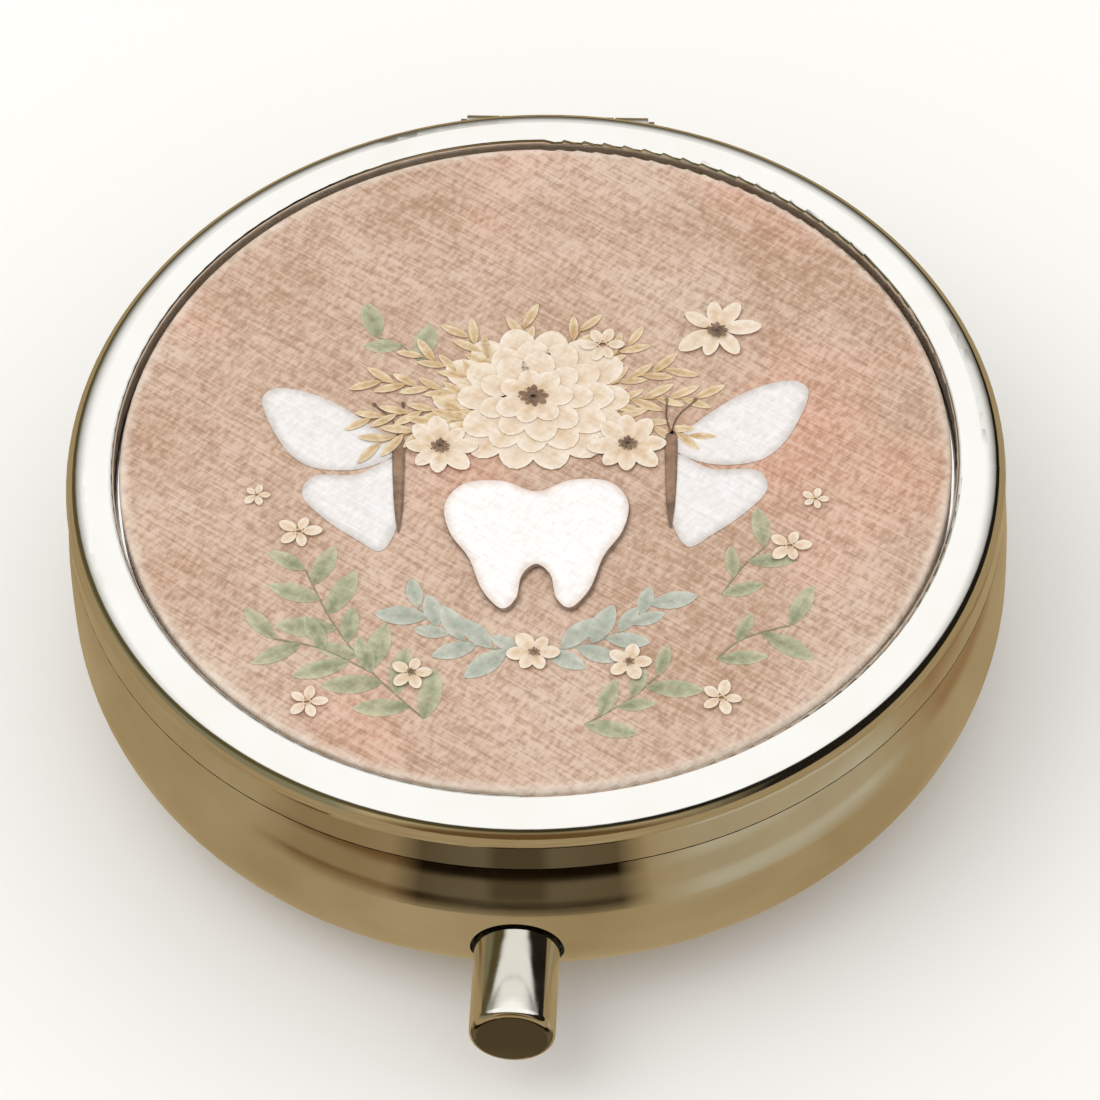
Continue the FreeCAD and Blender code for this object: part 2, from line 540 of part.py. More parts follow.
def hinge_leaf_base():
    """Base's hinge leaf: two outer knuckles, a bridge over the rim and a tail in the collar."""
    half = "(dims.hinge_width / 2)"
    outer_start = "(dims.hinge_width / 2 - dims.outer_knuckle)"
    bridge = block("base_leaf_bridge", "-%s" % half, half, TAIL_INSIDE, HINGE_Y,
                   STRAP_UNDER, STRAP_TOP)
    tail = block("base_leaf_tail", "-dims.tail_width / 2", "dims.tail_width / 2",
                 TAIL_INSIDE, TAIL_OUTSIDE, TAIL_FOOT, STRAP_TOP)
    left = knuckle("base_knuckle_left", "-%s" % half, "-%s" % outer_start)
    right = knuckle("base_knuckle_right", outer_start, half)
    window = block("base_leaf_window", "-%s" % outer_start, outer_start,
                   "%s - dims.knuckle_radius - dims.notch_side" % HINGE_Y, "%s + 2" % HINGE_Y,
                   "%s - 1" % STRAP_UNDER, "%s + 1" % STRAP_TOP)
    return cut("hinge_leaf_base", fuse("base_leaf_solid", bridge, tail, left, right), window,
               pin_bore("base_leaf_bore"), *tail_bores("base_leaf"))


def tail_bores(name):
    """Two level rivet bores side by side through the collar and the base leaf's tail."""
    return [rod("%s_tail_bore_%s" % (name, side), "y", RIVET_BORE, "%s - 1" % TAIL_INSIDE,
                "%s + 1" % COLLAR_OUTSIDE, x=across, z=TAIL_RIVET_Z)
            for side, across in (("left", "-dims.tail_width / 4"), ("right", "dims.tail_width / 4"))]


def tail_rivets():
    """Two rivets that hold the base leaf's tail in the collar, heads inside."""
    solids = []
    skin = common("tail_rivet_skin",
                  rod("tail_rivet_round", "z", COLLAR_OUTSIDE, TAIL_FOOT, STRAP_TOP),
                  block("tail_rivet_space", "-dims.tail_width", "dims.tail_width", "0",
                        "dims.base_radius", TAIL_FOOT, STRAP_TOP))
    for side, across in (("left", "-dims.tail_width / 4"), ("right", "dims.tail_width / 4")):
        shank = rod("tail_shank_%s" % side, "y", "dims.rivet_radius", TAIL_INSIDE,
                    COLLAR_OUTSIDE, x=across, z=TAIL_RIVET_Z)
        head = rod("tail_head_%s" % side, "y", "dims.rivet_head", "%s - dims.rivet_dome" % TAIL_INSIDE,
                   TAIL_INSIDE, x=across, z=TAIL_RIVET_Z)
        solids.append(fuse("tail_rivet_%s" % side, shank, head))
    return common("hinge_rivets_base", fuse("tail_rivet_pair", *solids), skin)


def hinge_pin():
    """Pin through all the knuckles, with peened ends."""
    half = "(dims.hinge_width / 2)"
    near = "(%s + dims.play)" % half
    far = "(%s + dims.pin_head_length)" % near
    head = "dims.pin_radius + dims.pin_head_margin"
    places = {"y": HINGE_Y, "z": HINGE_Z}
    return fuse("hinge_pin",
                rod("pin_bar", "x", "dims.pin_radius", "-%s" % far, far, **places),
                rod("pin_head_left", "x", head, "-%s" % far, "-%s" % near, **places),
                rod("pin_head_right", "x", head, near, far, **places))


def coil(label, axis, wire, mean, winds, length, x="0", y="0", z="0"):
    """Coil spring wound about an axis from a start place."""
    turns = {"x": FreeCAD.Rotation(FreeCAD.Vector(0, 1, 0), 90),
             "y": FreeCAD.Rotation(FreeCAD.Vector(1, 0, 0), -90)}
    path = doc.addObject("Part::Helix", label + "_path")
    bind(path, Radius=mean, Pitch="(%s) / %s" % (length, winds), Height=length)
    section = doc.addObject("Part::Circle", label + "_section")
    section.Placement = FreeCAD.Placement(FreeCAD.Vector(), FreeCAD.Rotation(FreeCAD.Vector(1, 0, 0), 90))
    bind(section, Radius=wire, Placement__Base__x=mean)
    sweep = doc.addObject("Part::Sweep", label)
    sweep.Sections = [section]
    sweep.Spine = (path, ["Edge1"])
    sweep.Solid = True
    sweep.Frenet = True
    sweep.Placement = FreeCAD.Placement(FreeCAD.Vector(), turns[axis])
    return bind(sweep, Placement__Base__x=x, Placement__Base__y=y, Placement__Base__z=z)


def spring_leg(label, across, rise, reach):
    """Straight leg that leaves the hinge spring's coil at a tangent and ends inward of it, with
    its end a given rise above the hinge axis."""
    mean, wire = value(HINGE_COIL), value("dims.hinge_wire")
    distance = math.hypot(reach, rise)
    spread = math.acos(mean / distance) * (-1 if rise > 0 else 1)
    angle = math.atan2(rise, -reach) + spread
    x, y, z = value(across), value(HINGE_Y), value(HINGE_Z)
    tangent = FreeCAD.Vector(x, y + mean * math.cos(angle), z + mean * math.sin(angle))
    end = FreeCAD.Vector(x, y - reach, z + rise)
    start = tangent - (end - tangent).normalize() * (2 * wire)
    leg = doc.addObject("Part::Feature", label)
    leg.Shape = Part.makeCylinder(wire, (end - start).Length, start, end - start)
    return leg


def leg_rise(edge_reach, edge_rise):
    """Rise of a leg's end, so that the leg passes a leaf's inner edge with the set gap."""
    mean, reach = value(HINGE_COIL), value("dims.leg_reach")
    slope = (mean - edge_rise) / edge_reach
    return mean - slope * reach


def lid_spring():
    """Torsion spring about the hinge pin, one leg under the lid's leaf and one on the base's."""
    half = "(dims.hinge_coil_length / 2)"
    winding = coil("lid_spring_coil", "x", "dims.hinge_wire", HINGE_COIL, "dims.hinge_turns",
                   "dims.hinge_coil_length", x="-%s" % half, y=HINGE_Y, z=HINGE_Z)
    reach, wire_gap = value("dims.leg_reach"), value("dims.hinge_wire + dims.leg_gap")
    upper_edge = value("dims.knuckle_radius + dims.leaf_sheet")
    upper_rise = leg_rise(upper_edge, value("%s - %s" % (LEAF_UNDER, HINGE_Z)) - wire_gap)
    lower_edge = value("dims.knuckle_radius + dims.notch_side")
    lower_rise = leg_rise(lower_edge, value("%s - %s" % (HINGE_Z, STRAP_TOP)) - wire_gap)
    return fuse("lid_spring", winding, spring_leg("lid_spring_upper_leg", half, upper_rise, reach),
                spring_leg("lid_spring_lower_leg", "-%s" % half, -lower_rise, reach))


def base_collar():
    """Stepped ring inside the base rim that the lid closes over."""
    step_foot = "(%s - dims.collar_step)" % SEAM
    inside_low = "(%s - dims.collar_sheet)" % COLLAR_OUTSIDE
    body = turned("base_collar_ring", [
        (COLLAR_OUTSIDE, COLLAR_FOOT),
        (COLLAR_OUTSIDE, step_foot),
        (COLLAR_STAND, SEAM),
        (COLLAR_STAND, COLLAR_TOP),
        (COLLAR_INSIDE, COLLAR_TOP),
        (COLLAR_INSIDE, SEAM),
        (inside_low, step_foot),
        (inside_low, COLLAR_FOOT)])
    notch = block("collar_notch", "-%s" % NOTCH_HALF, NOTCH_HALF, TAIL_INSIDE, "dims.base_radius + 2",
                  "%s - dims.notch_gap" % STRAP_UNDER, "%s + 2" % COLLAR_TOP)
    return cut("base_collar", body, notch, *tail_bores("collar"))


def push_button():
    """Turned button with a rounded front edge, and the shank behind it with a clip groove."""
    groove_end = "(%s + dims.clip_sheet + dims.play)" % CLIP_Y
    body = turned("push_button", [
        (BUTTON_FACE, "0"),
        (SHANK_END, "0"),
        (SHANK_END, "dims.shank_radius"),
        (groove_end, "dims.shank_radius"),
        (groove_end, "dims.shank_groove"),
        (CLIP_Y, "dims.shank_groove"),
        (CLIP_Y, "dims.shank_radius"),
        (SLIDE_Y, "dims.shank_radius"),
        (SLIDE_Y, "dims.button_radius"),
        ("%s + dims.button_round" % BUTTON_FACE, "dims.button_radius", "dims.button_round", "left"),
        (BUTTON_FACE, "dims.button_radius - dims.button_round")],
        plane="YZ_Plane", axis="H_Axis")
    return bind(body, Placement__Base__z="dims.button_height")


def latch_slide():
    """Folded plate on the shank, with the latch tooth at its top."""
    half = "(dims.slide_width / 2)"
    plate = block("slide_plate", "-%s" % half, half, SLIDE_Y, SLIDE_BACK,
                  "dims.button_height - dims.slide_foot", TOOTH_TOP)
    tooth = block("slide_tooth", "-dims.tooth_width / 2", "dims.tooth_width / 2", TOOTH_TIP,
                  SLIDE_BACK, TOOTH_UNDER, TOOTH_TOP)
    bore = rod("slide_bore", "y", "dims.shank_radius + dims.rivet_fit", "%s - 0.2" % SLIDE_Y,
               "%s + 1" % SLIDE_BACK, z="dims.button_height")
    return cut("latch_slide", fuse("slide_fold", plate, tooth), bore)


def retaining_clip():
    """Open clip in the shank's groove that stops the button at the bracket."""
    end = "(%s + dims.clip_sheet)" % CLIP_Y
    radius = "(dims.shank_radius + dims.clip_margin)"
    ring = tube("clip_ring", "y", radius, "dims.shank_groove + dims.rivet_fit",
                CLIP_Y, end, z="dims.button_height")
    mouth = block("clip_mouth_cut", "-dims.clip_mouth / 2", "dims.clip_mouth / 2",
                  "%s - 1" % CLIP_Y, "%s + 1" % end, "dims.button_height - 2 * %s" % radius,
                  "dims.button_height")
    return cut("retaining_clip", ring, mouth)


def spring_washer():
    """Washer between the return spring and the bracket's rear wall."""
    radius = "%s + dims.spring_wire + dims.washer_margin" % SPRING_MEAN
    return tube("spring_washer", "y", radius, SHANK_BORE, WASHER_Y,
                "%s + dims.washer_sheet" % WASHER_Y, z="dims.button_height")


def return_spring():
    """Coil spring between the latch slide and the washer."""
    start = "(%s + dims.spring_wire + dims.play)" % SLIDE_BACK
    end = "(%s - dims.spring_wire - dims.play)" % WASHER_Y
    return coil("return_spring", "y", "dims.spring_wire", SPRING_MEAN, "dims.spring_turns",
                "%s - (%s)" % (end, start), y=start, z="dims.button_height")


def latch_bracket():
    """Folded channel on the base's floor that guides the button and its shank."""
    body = doc.addObject("PartDesign::Body", "bracket_block")
    sketch = outline(body, "YZ_Plane", [
        (BRACKET_Y, BRACKET_TOE),
        (BRACKET_HEEL, BRACKET_FOOT),
        (BRACKET_END, BRACKET_FOOT),
        (BRACKET_END, BRACKET_TOP),
        (BRACKET_Y, BRACKET_TOP)])
    pad = body.newObject("PartDesign::Pad", "bracket_pad")
    pad.Profile = sketch
    pad.Midplane = True
    pad.setExpression("Length", "2 * %s" % BRACKET_HALF)
    hollow = doc.addObject("PartDesign::Body", "bracket_hollow")
    inside_front = "(%s + dims.bracket_sheet)" % BRACKET_Y
    inside_back = "(%s - dims.bracket_sheet)" % BRACKET_END
    inside_floor = "(%s + dims.bracket_sheet)" % BRACKET_FOOT
    hollow_sketch = outline(hollow, "YZ_Plane", [
        (inside_front, "%s + dims.bracket_sheet" % BRACKET_TOE),
        (BRACKET_HEEL, inside_floor),
        (inside_back, inside_floor),
        (inside_back, "%s + 1" % BRACKET_TOP),
        (inside_front, "%s + 1" % BRACKET_TOP)])
    hollow_pad = hollow.newObject("PartDesign::Pad", "bracket_hollow_pad")
    hollow_pad.Profile = hollow_sketch
    hollow_pad.Midplane = True
    hollow_pad.setExpression("Length", "2 * (%s - dims.bracket_sheet)" % BRACKET_HALF)
    front_bore = rod("bracket_front_bore", "y", "dims.button_radius + dims.guide_clearance",
                     "%s - 1" % BRACKET_Y, "%s + dims.button_stroke" % SLIDE_BACK, z="dims.button_height")
    rear_bore = rod("bracket_rear_bore", "y", SHANK_BORE, "%s - 1" % inside_back,
                    "%s + 1" % BRACKET_END, z="dims.button_height")
    return cut("latch_bracket", body, hollow, front_bore, rear_bore)


def edges_of(shape, wanted):
    """Numbers of the edges of a shape that a test picks."""
    return [index for index, edge in enumerate(shape.Edges, start=1) if wanted(edge)]


def rounded(label, piece, size, wanted):
    """Piece with the picked edges rounded."""
    doc.recompute()
    fillet = doc.addObject("Part::Fillet", label)
    fillet.Base = piece
    radius = value(size)
    fillet.Edges = [(index, radius, radius) for index in edges_of(piece.Shape, wanted)]
    doc.recompute()
    return fillet


def is_upright(edge):
    """Whether an edge is a straight line along Z."""
    return isinstance(edge.Curve, Part.Line) and abs(edge.tangentAt(edge.FirstParameter).z) > 0.999


def compartment(name, direction):
    """Rounded space of one compartment, centred on a direction in degrees."""
    reach = "(2 * %s)" % POCKET_RADIUS
    depth = "(%s - %s + 1)" % (TRAY_TOP, POCKET_FLOOR)
    sides = []
    for side, turn, low in (("right", -60, "dims.divider / 2"), ("left", 60, "-dims.divider / 2 - %s" % reach)):
        half = doc.addObject("Part::Box", "%s_%s" % (name, side))
        bind(half, Length="2 * %s" % reach, Width=reach, Height=depth)
        angle = math.radians(direction + turn)
        half.Placement = FreeCAD.Placement(FreeCAD.Vector(), FreeCAD.Rotation(FreeCAD.Vector(0, 0, 1),
                                                                              direction + turn))
        along, across = "(-%s)" % reach, "(%s)" % low
        bind(half,
             Placement__Base__x="%s * %.9f - %s * %.9f" % (along, math.cos(angle), across, math.sin(angle)),
             Placement__Base__y="%s * %.9f + %s * %.9f" % (along, math.sin(angle), across, math.cos(angle)),
             Placement__Base__z=POCKET_FLOOR)
        sides.append(half)
    barrel = rod(name + "_barrel", "z", POCKET_RADIUS, POCKET_FLOOR,
                 "%s + (%s)" % (POCKET_FLOOR, depth))
    space = common(name + "_sector", barrel, *sides)
    wall_half = "(%s + dims.tray_wall)" % BAY_HALF
    keep_out = block(name + "_keep_out", "-%s" % wall_half, wall_half, "-dims.base_radius",
                     "%s + dims.tray_wall" % BAY_BACK, "0", "dims.total_height")
    plain = cut(name + "_plain", space, keep_out)
    corners = rounded(name + "_corners", plain, "dims.pocket_corner", is_upright)
    floor = value(POCKET_FLOOR)
    return rounded(name, corners, "dims.pocket_round",
                   lambda edge: abs(edge.BoundBox.ZMax - floor) < 1e-4 and abs(edge.BoundBox.ZMin - floor) < 1e-4)


def pill_tray():
    """Moulded tray with three compartments, a rim, and a bay over the latch."""
    body = turned("tray_form", [
        ("0", TRAY_UNDER),
        ("%s - %s" % (TRAY_OUTSIDE, TRAY_ROUND), TRAY_UNDER, TRAY_ROUND, "left"),
        (TRAY_OUTSIDE, "%s + %s" % (TRAY_UNDER, TRAY_ROUND)),
        (TRAY_OUTSIDE, "%s - dims.tray_rim" % TRAY_TOP),
        (TRAY_RIM_RADIUS, "%s - dims.tray_rim" % TRAY_TOP),
        (TRAY_RIM_RADIUS, TRAY_TOP),
        ("0", TRAY_TOP)])
    pockets = [compartment("pocket_%s" % name, direction)
               for name, direction in (("back", 90), ("left", 210), ("right", 330))]
    bay = block("tray_bay", "-%s" % BAY_HALF, BAY_HALF, "-dims.base_radius", BAY_BACK,
                "0", "%s - dims.tray_rim" % TRAY_TOP)
    slot = block("tray_slot", "-%s" % SLOT_HALF, SLOT_HALF, "-dims.base_radius",
                 "%s + dims.bay_slot_gap" % CATCH_BACK, "0", "%s + 1" % TRAY_TOP)
    hinge_notch = block("tray_hinge_notch", "-(%s + dims.bay_side)" % NOTCH_HALF,
                        "%s + dims.bay_side" % NOTCH_HALF,
                        "%s - dims.rivet_dome - dims.notch_side" % TAIL_INSIDE, "dims.base_radius",
                        "%s + dims.tray_wall" % POCKET_FLOOR, "%s + 1" % TRAY_TOP)
    return cut("pill_tray", body, bay, slot, hinge_notch, *pockets)


def check(nodes):
    """Stop if any object failed, or a node's shape is missing, broken or not made of solids."""
    for item in doc.Objects:
        if "Invalid" in item.State or "Error" in item.State:
            raise RuntimeError("%s failed to build" % item.Label)
    for node in nodes:
        shape = node.Shape
        if shape.isNull() or not shape.isValid() or not shape.Solids:
            raise RuntimeError("%s has no valid solid" % node.Label)


NODES = [
    base_shell(), base_collar(), pill_tray(), hinge_leaf_base(), tail_rivets(), hinge_pin(), lid_spring(),
    latch_bracket(), spring_washer(), return_spring(), push_button(), latch_slide(), retaining_clip(),
    lid_shell(), insert_adhesive(), insert_plate(), lid_liner(), lid_catch(), hinge_leaf_lid(),
    rivet_pair("hinge_rivets_lid", LID_RIVET_Y), rivet_pair("catch_rivets", CATCH_RIVET_Y),
]
doc.recompute()
check(NODES)
os.makedirs("parts", exist_ok=True)
for node in NODES:
    node.Shape.exportStep("parts/%s.step" % node.Label)
    print("%-18s %d solid(s) %9.2f mm3" % (node.Label, len(node.Shape.Solids), node.Shape.Volume))
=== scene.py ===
import math

import bmesh
import bpy
from mathutils import Matrix, Vector
from mathutils.geometry import delaunay_2d_cdt, intersect_point_line


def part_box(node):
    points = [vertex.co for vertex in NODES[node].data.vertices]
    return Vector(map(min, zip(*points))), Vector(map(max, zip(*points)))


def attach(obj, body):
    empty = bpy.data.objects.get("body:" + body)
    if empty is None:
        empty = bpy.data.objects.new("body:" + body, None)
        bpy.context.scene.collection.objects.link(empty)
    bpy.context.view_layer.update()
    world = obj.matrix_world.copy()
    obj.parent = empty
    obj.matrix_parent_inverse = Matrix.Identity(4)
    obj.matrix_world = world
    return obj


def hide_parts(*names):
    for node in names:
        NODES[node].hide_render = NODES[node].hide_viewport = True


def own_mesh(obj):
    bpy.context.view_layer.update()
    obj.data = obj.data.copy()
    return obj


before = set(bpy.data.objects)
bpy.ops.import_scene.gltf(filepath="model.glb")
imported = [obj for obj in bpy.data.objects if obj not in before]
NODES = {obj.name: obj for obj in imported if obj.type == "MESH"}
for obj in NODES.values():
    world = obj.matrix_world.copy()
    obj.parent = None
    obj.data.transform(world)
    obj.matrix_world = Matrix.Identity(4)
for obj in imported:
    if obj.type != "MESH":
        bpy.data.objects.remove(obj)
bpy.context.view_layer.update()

# Round push-button pill box: finishes, printed lid, wire springs and the studio round it.

MM = 0.001
SCENE = bpy.context.scene

PLATE_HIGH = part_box("insert_plate")[1]
PLATE_RADIUS = PLATE_HIGH.x
PLATE_TOP = PLATE_HIGH.z
BUTTON_LOW, BUTTON_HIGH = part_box("push_button")
BUTTON_AXIS_Z = (BUTTON_LOW.z + BUTTON_HIGH.z) / 2


# ---------------------------------------------------------------- small helpers

def colour(code):
    """An sRGB hex value as linear red, green, blue and alpha."""
    parts = [int(code[i:i + 2], 16) / 255 for i in (1, 3, 5)]
    return [c / 12.92 if c <= 0.04045 else ((c + 0.055) / 1.055) ** 2.4 for c in parts] + [1.0]


def feed(node, inputs):
    """Gives each input a value, or links it from a socket or from a node's first output."""
    for key, given in inputs.items():
        if isinstance(given, bpy.types.Node):
            given = given.outputs[0]
        if isinstance(given, bpy.types.NodeSocket):
            node.id_data.links.new(given, node.inputs[key])
        else:
            node.inputs[key].default_value = given


def add(tree, kind, inputs=None, **settings):
    """One node with its settings and links."""
    node = tree.nodes.new(kind)
    for name, setting in settings.items():
        setattr(node, name, setting)
    feed(node, inputs or {})
    return node


def start_finish(name, **values):
    """A new material, its node tree, its Principled shader with these settings, and object coordinates."""
    material = bpy.data.materials.new(name)
    material.use_nodes = True
    tree = material.node_tree
    surface = tree.nodes["Principled BSDF"]
    for key, given in values.items():
        surface.inputs[key.replace("_", " ").title().replace("Ior", "IOR")].default_value = given
    place = add(tree, "ShaderNodeTexCoord").outputs["Object"]
    return material, tree, surface, place


def per(size_mm):
    """Texture scale whose features are this many millimetres across."""
    return 1.0 / (size_mm * MM)


def round_place(tree, place, stretch):
    """Coordinates that run round the box's axis, so a pattern turns into lines round it."""
    parts = add(tree, "ShaderNodeSeparateXYZ", {0: place}).outputs
    turn = add(tree, "ShaderNodeMath", {0: parts["Y"], 1: parts["X"]}, operation="ARCTAN2")
    arc = add(tree, "ShaderNodeMath", {0: turn, 1: LINE_RADIUS / stretch}, operation="MULTIPLY")
    across = add(tree, "ShaderNodeVectorMath", {0: place, 1: (1, 1, 0)}, operation="MULTIPLY")
    out = add(tree, "ShaderNodeVectorMath", {0: across}, operation="LENGTH").outputs["Value"]
    return add(tree, "ShaderNodeCombineXYZ", {0: arc, 1: out, 2: parts["Z"]})


# ---------------------------------------------------------------- finishes

# Where the lines round the box keep their true length, and how much longer than wide they are.
LINE_RADIUS = 25 * MM
LINE_STRETCH = 40


def plated_steel(name, tint, lines_mm, ripple_mm, rough, rough_spread):
    """Buffed plated sheet: a mirror softened by lines round the box, with a slow ripple."""
    material, tree, surface, place = start_finish(name, metallic=1.0)
    lines = add(tree, "ShaderNodeTexNoise", {"Vector": round_place(tree, place, LINE_STRETCH),
        "Scale": per(lines_mm), "Detail": 4.0, "Roughness": 0.6})
    haze = add(tree, "ShaderNodeTexNoise", {"Vector": place, "Scale": per(3.5), "Detail": 4.0,
        "Roughness": 0.6})
    both = add(tree, "ShaderNodeMath", {0: lines, 1: haze}, operation="MULTIPLY")
    feed(surface, {
        "Roughness": add(tree, "ShaderNodeMapRange", {"Value": both, "From Min": 0.1, "From Max": 0.45,
            "To Min": rough, "To Max": rough + rough_spread})})
    shade = add(tree, "ShaderNodeMix", {
        0: add(tree, "ShaderNodeMapRange", {"Value": haze, "From Min": 0.3, "From Max": 0.7}),
        6: colour(tint), 7: colour("#e3e0da")}, data_type="RGBA").outputs[2]
    feed(surface, {"Base Color": shade})
    slow = add(tree, "ShaderNodeBump", {"Strength": 1.0, "Distance": ripple_mm * MM,
        "Height": add(tree, "ShaderNodeTexNoise", {"Vector": place, "Scale": per(5.0), "Detail": 1.0,
            "Roughness": 0.5})})
    feed(surface, {
        "Normal": add(tree, "ShaderNodeBump", {"Strength": 1.0, "Distance": 0.0006 * MM, "Height": lines,
            "Normal": slow})})
    return material


def bright_plated_sheet():
    # Nickel-plated steel sheet, drawn and buffed: a warm-white mirror, almost free of scratches.
    return plated_steel("nickel_plated_steel_sheet", "#e5e4df", 0.16, 0.006, 0.045, 0.06)


def mirror_liner_sheet():
    # Nickel-plated liner, buffed on a wheel: brighter and flatter than the shells.
    return plated_steel("buffed_nickel_liner", "#e9e7e2", 0.22, 0.003, 0.03, 0.05)


def turned_button_steel():
    # Turned and nickel-plated steel bar: fine tool rings about its own axis show as a silky gleam.
    material, tree, surface, place = start_finish("turned_nickel_plated_steel", metallic=1.0)
    feed(surface, {"Base Color": colour("#e2dfd8")})
    centred = add(tree, "ShaderNodeVectorMath", {0: place, 1: (0, 0, -BUTTON_AXIS_Z)})
    parts = add(tree, "ShaderNodeSeparateXYZ", {0: centred}).outputs
    flat = add(tree, "ShaderNodeVectorMath", {0: centred, 1: (1, 0, 1)}, operation="MULTIPLY")
    out = add(tree, "ShaderNodeVectorMath", {0: flat}, operation="LENGTH").outputs["Value"]
    rings = add(tree, "ShaderNodeCombineXYZ", {0: out, 1: parts["Y"]})
    tool = add(tree, "ShaderNodeTexNoise", {"Vector": rings, "Scale": per(0.12), "Detail": 3.0,
        "Roughness": 0.6})
    haze = add(tree, "ShaderNodeTexNoise", {"Vector": place, "Scale": per(1.2), "Detail": 3.0,
        "Roughness": 0.5})
    feed(surface, {
        "Roughness": add(tree, "ShaderNodeMapRange", {"Value": haze, "From Min": 0.3, "From Max": 0.7,
            "To Min": 0.06, "To Max": 0.13})})
    feed(surface, {
        "Normal": add(tree, "ShaderNodeBump", {"Strength": 1.0, "Distance": 0.0015 * MM, "Height": tool})})
    return material


def stamped_spring_plate():
    # Zinc-flashed mild steel from the press: duller, faintly blue, with drawn grain and rubbed spots.
    material, tree, surface, place = start_finish("zinc_flashed_stamped_steel", metallic=1.0)
    stretched = add(tree, "ShaderNodeMapping", {"Vector": place, "Scale": (0.06, 1, 1)})
    grain = add(tree, "ShaderNodeTexNoise", {"Vector": stretched, "Scale": per(0.09), "Detail": 4.0,
        "Roughness": 0.6})
    spots = add(tree, "ShaderNodeTexNoise", {"Vector": place, "Scale": per(1.6), "Detail": 4.0,
        "Roughness": 0.6})
    feed(surface, {
        "Base Color": add(tree, "ShaderNodeMix", {
            0: add(tree, "ShaderNodeMapRange", {"Value": spots, "From Min": 0.35, "From Max": 0.65}),
            6: colour("#aeb2b5"), 7: colour("#c6c6c0")}, data_type="RGBA").outputs[2]})
    feed(surface, {
        "Roughness": add(tree, "ShaderNodeMapRange", {"Value": spots, "From Min": 0.3, "From Max": 0.7,
            "To Min": 0.24, "To Max": 0.4})})
    feed(surface, {
        "Normal": add(tree, "ShaderNodeBump", {"Strength": 1.0, "Distance": 0.004 * MM, "Height": grain})})
    return material


def hinge_plate_steel():
    # Nickel-plated hinge stampings and pin: bright but rolled by a tool, so edges gleam unevenly.
    material, tree, surface, place = start_finish("nickel_plated_hinge_steel", metallic=1.0)
    along = add(tree, "ShaderNodeMapping", {"Vector": place, "Scale": (1, 0.1, 0.1)})
    grain = add(tree, "ShaderNodeTexNoise", {"Vector": along, "Scale": per(0.1), "Detail": 4.0,
        "Roughness": 0.6})
    feed(surface, {
        "Base Color": add(tree, "ShaderNodeMix", {0: grain, 6: colour("#cfccc5"), 7: colour("#dedbd4")},
            data_type="RGBA").outputs[2]})
    feed(surface, {
        "Roughness": add(tree, "ShaderNodeMapRange", {
            "Value": add(tree, "ShaderNodeTexNoise", {"Vector": place, "Scale": per(0.9), "Detail": 3.0,
                "Roughness": 0.5}),
            "From Min": 0.3, "From Max": 0.7, "To Min": 0.12, "To Max": 0.24})})
    feed(surface, {
        "Normal": add(tree, "ShaderNodeBump", {"Strength": 1.0, "Distance": 0.003 * MM, "Height": grain})})
    return material


def spring_wire_steel():
    # Hard-drawn spring wire: darker, straw-grey, with long die lines.
    material, tree, surface, place = start_finish("hard_drawn_spring_wire", metallic=1.0)
    marks = add(tree, "ShaderNodeTexNoise", {"Vector": place, "Scale": per(0.12), "Detail": 3.0,
        "Roughness": 0.6})
    feed(surface, {
        "Base Color": add(tree, "ShaderNodeMix", {0: marks, 6: colour("#8d8a82"), 7: colour("#b5b0a5")},
            data_type="RGBA").outputs[2]})
    feed(surface, {
        "Roughness": add(tree, "ShaderNodeMapRange", {"Value": marks, "From Min": 0.3, "From Max": 0.7,
            "To Min": 0.2, "To Max": 0.34})})
    feed(surface, {
        "Normal": add(tree, "ShaderNodeBump", {"Strength": 1.0, "Distance": 0.002 * MM, "Height": marks})})
    return material


def peened_rivet_steel():
    # Soft steel rivet, hammered over: small hammer facets and a dull plated colour.
    material, tree, surface, place = start_finish("peened_rivet_steel", metallic=1.0)
    facets = add(tree, "ShaderNodeTexVoronoi", {"Vector": place, "Scale": per(0.28)})
    feed(surface, {
        "Base Color": add(tree, "ShaderNodeMix", {0: facets, 6: colour("#d2cfc8"), 7: colour("#b9b5ac")},
            data_type="RGBA").outputs[2]})
    feed(surface, {"Roughness": 0.22})
    feed(surface, {
        "Normal": add(tree, "ShaderNodeBump", {"Strength": 1.0, "Distance": 0.012 * MM, "Height": facets})})
    return material


def tray_polypropylene():
    # Injection-moulded white polypropylene: milky, soft-edged, with a faint sparked texture.
    material, tree, surface, place = start_finish("moulded_white_polypropylene", ior=1.49, roughness=0.38,
                                                  subsurface_weight=0.25, subsurface_scale=0.0012)
    cloud = add(tree, "ShaderNodeTexNoise", {"Vector": place, "Scale": per(6.0), "Detail": 2.0,
        "Roughness": 0.5})
    feed(surface, {
        "Base Color": add(tree, "ShaderNodeMix", {0: cloud, 6: colour("#f1efe8"), 7: colour("#e7e4da")},
            data_type="RGBA").outputs[2]})
    sparked = add(tree, "ShaderNodeTexNoise", {"Vector": place, "Scale": per(0.07), "Detail": 2.0,
        "Roughness": 0.5})
    feed(surface, {
        "Normal": add(tree, "ShaderNodeBump", {"Strength": 1.0, "Distance": 0.0035 * MM,
            "Height": sparked})})
    return material


def clear_adhesive():
    # Clear double-sided film: a thin milky edge round the printed plate.
    material, tree, surface, place = start_finish("acrylic_adhesive_film", ior=1.47, roughness=0.3)
    cloud = add(tree, "ShaderNodeTexNoise", {"Vector": place, "Scale": per(0.8), "Detail": 3.0,
        "Roughness": 0.5})
    feed(surface, {
        "Base Color": add(tree, "ShaderNodeMix", {0: cloud, 6: colour("#d9d4c6"), 7: colour("#c9c2b2")},
            data_type="RGBA").outputs[2]})
    return material


# ---------------------------------------------------------------- print on the lid

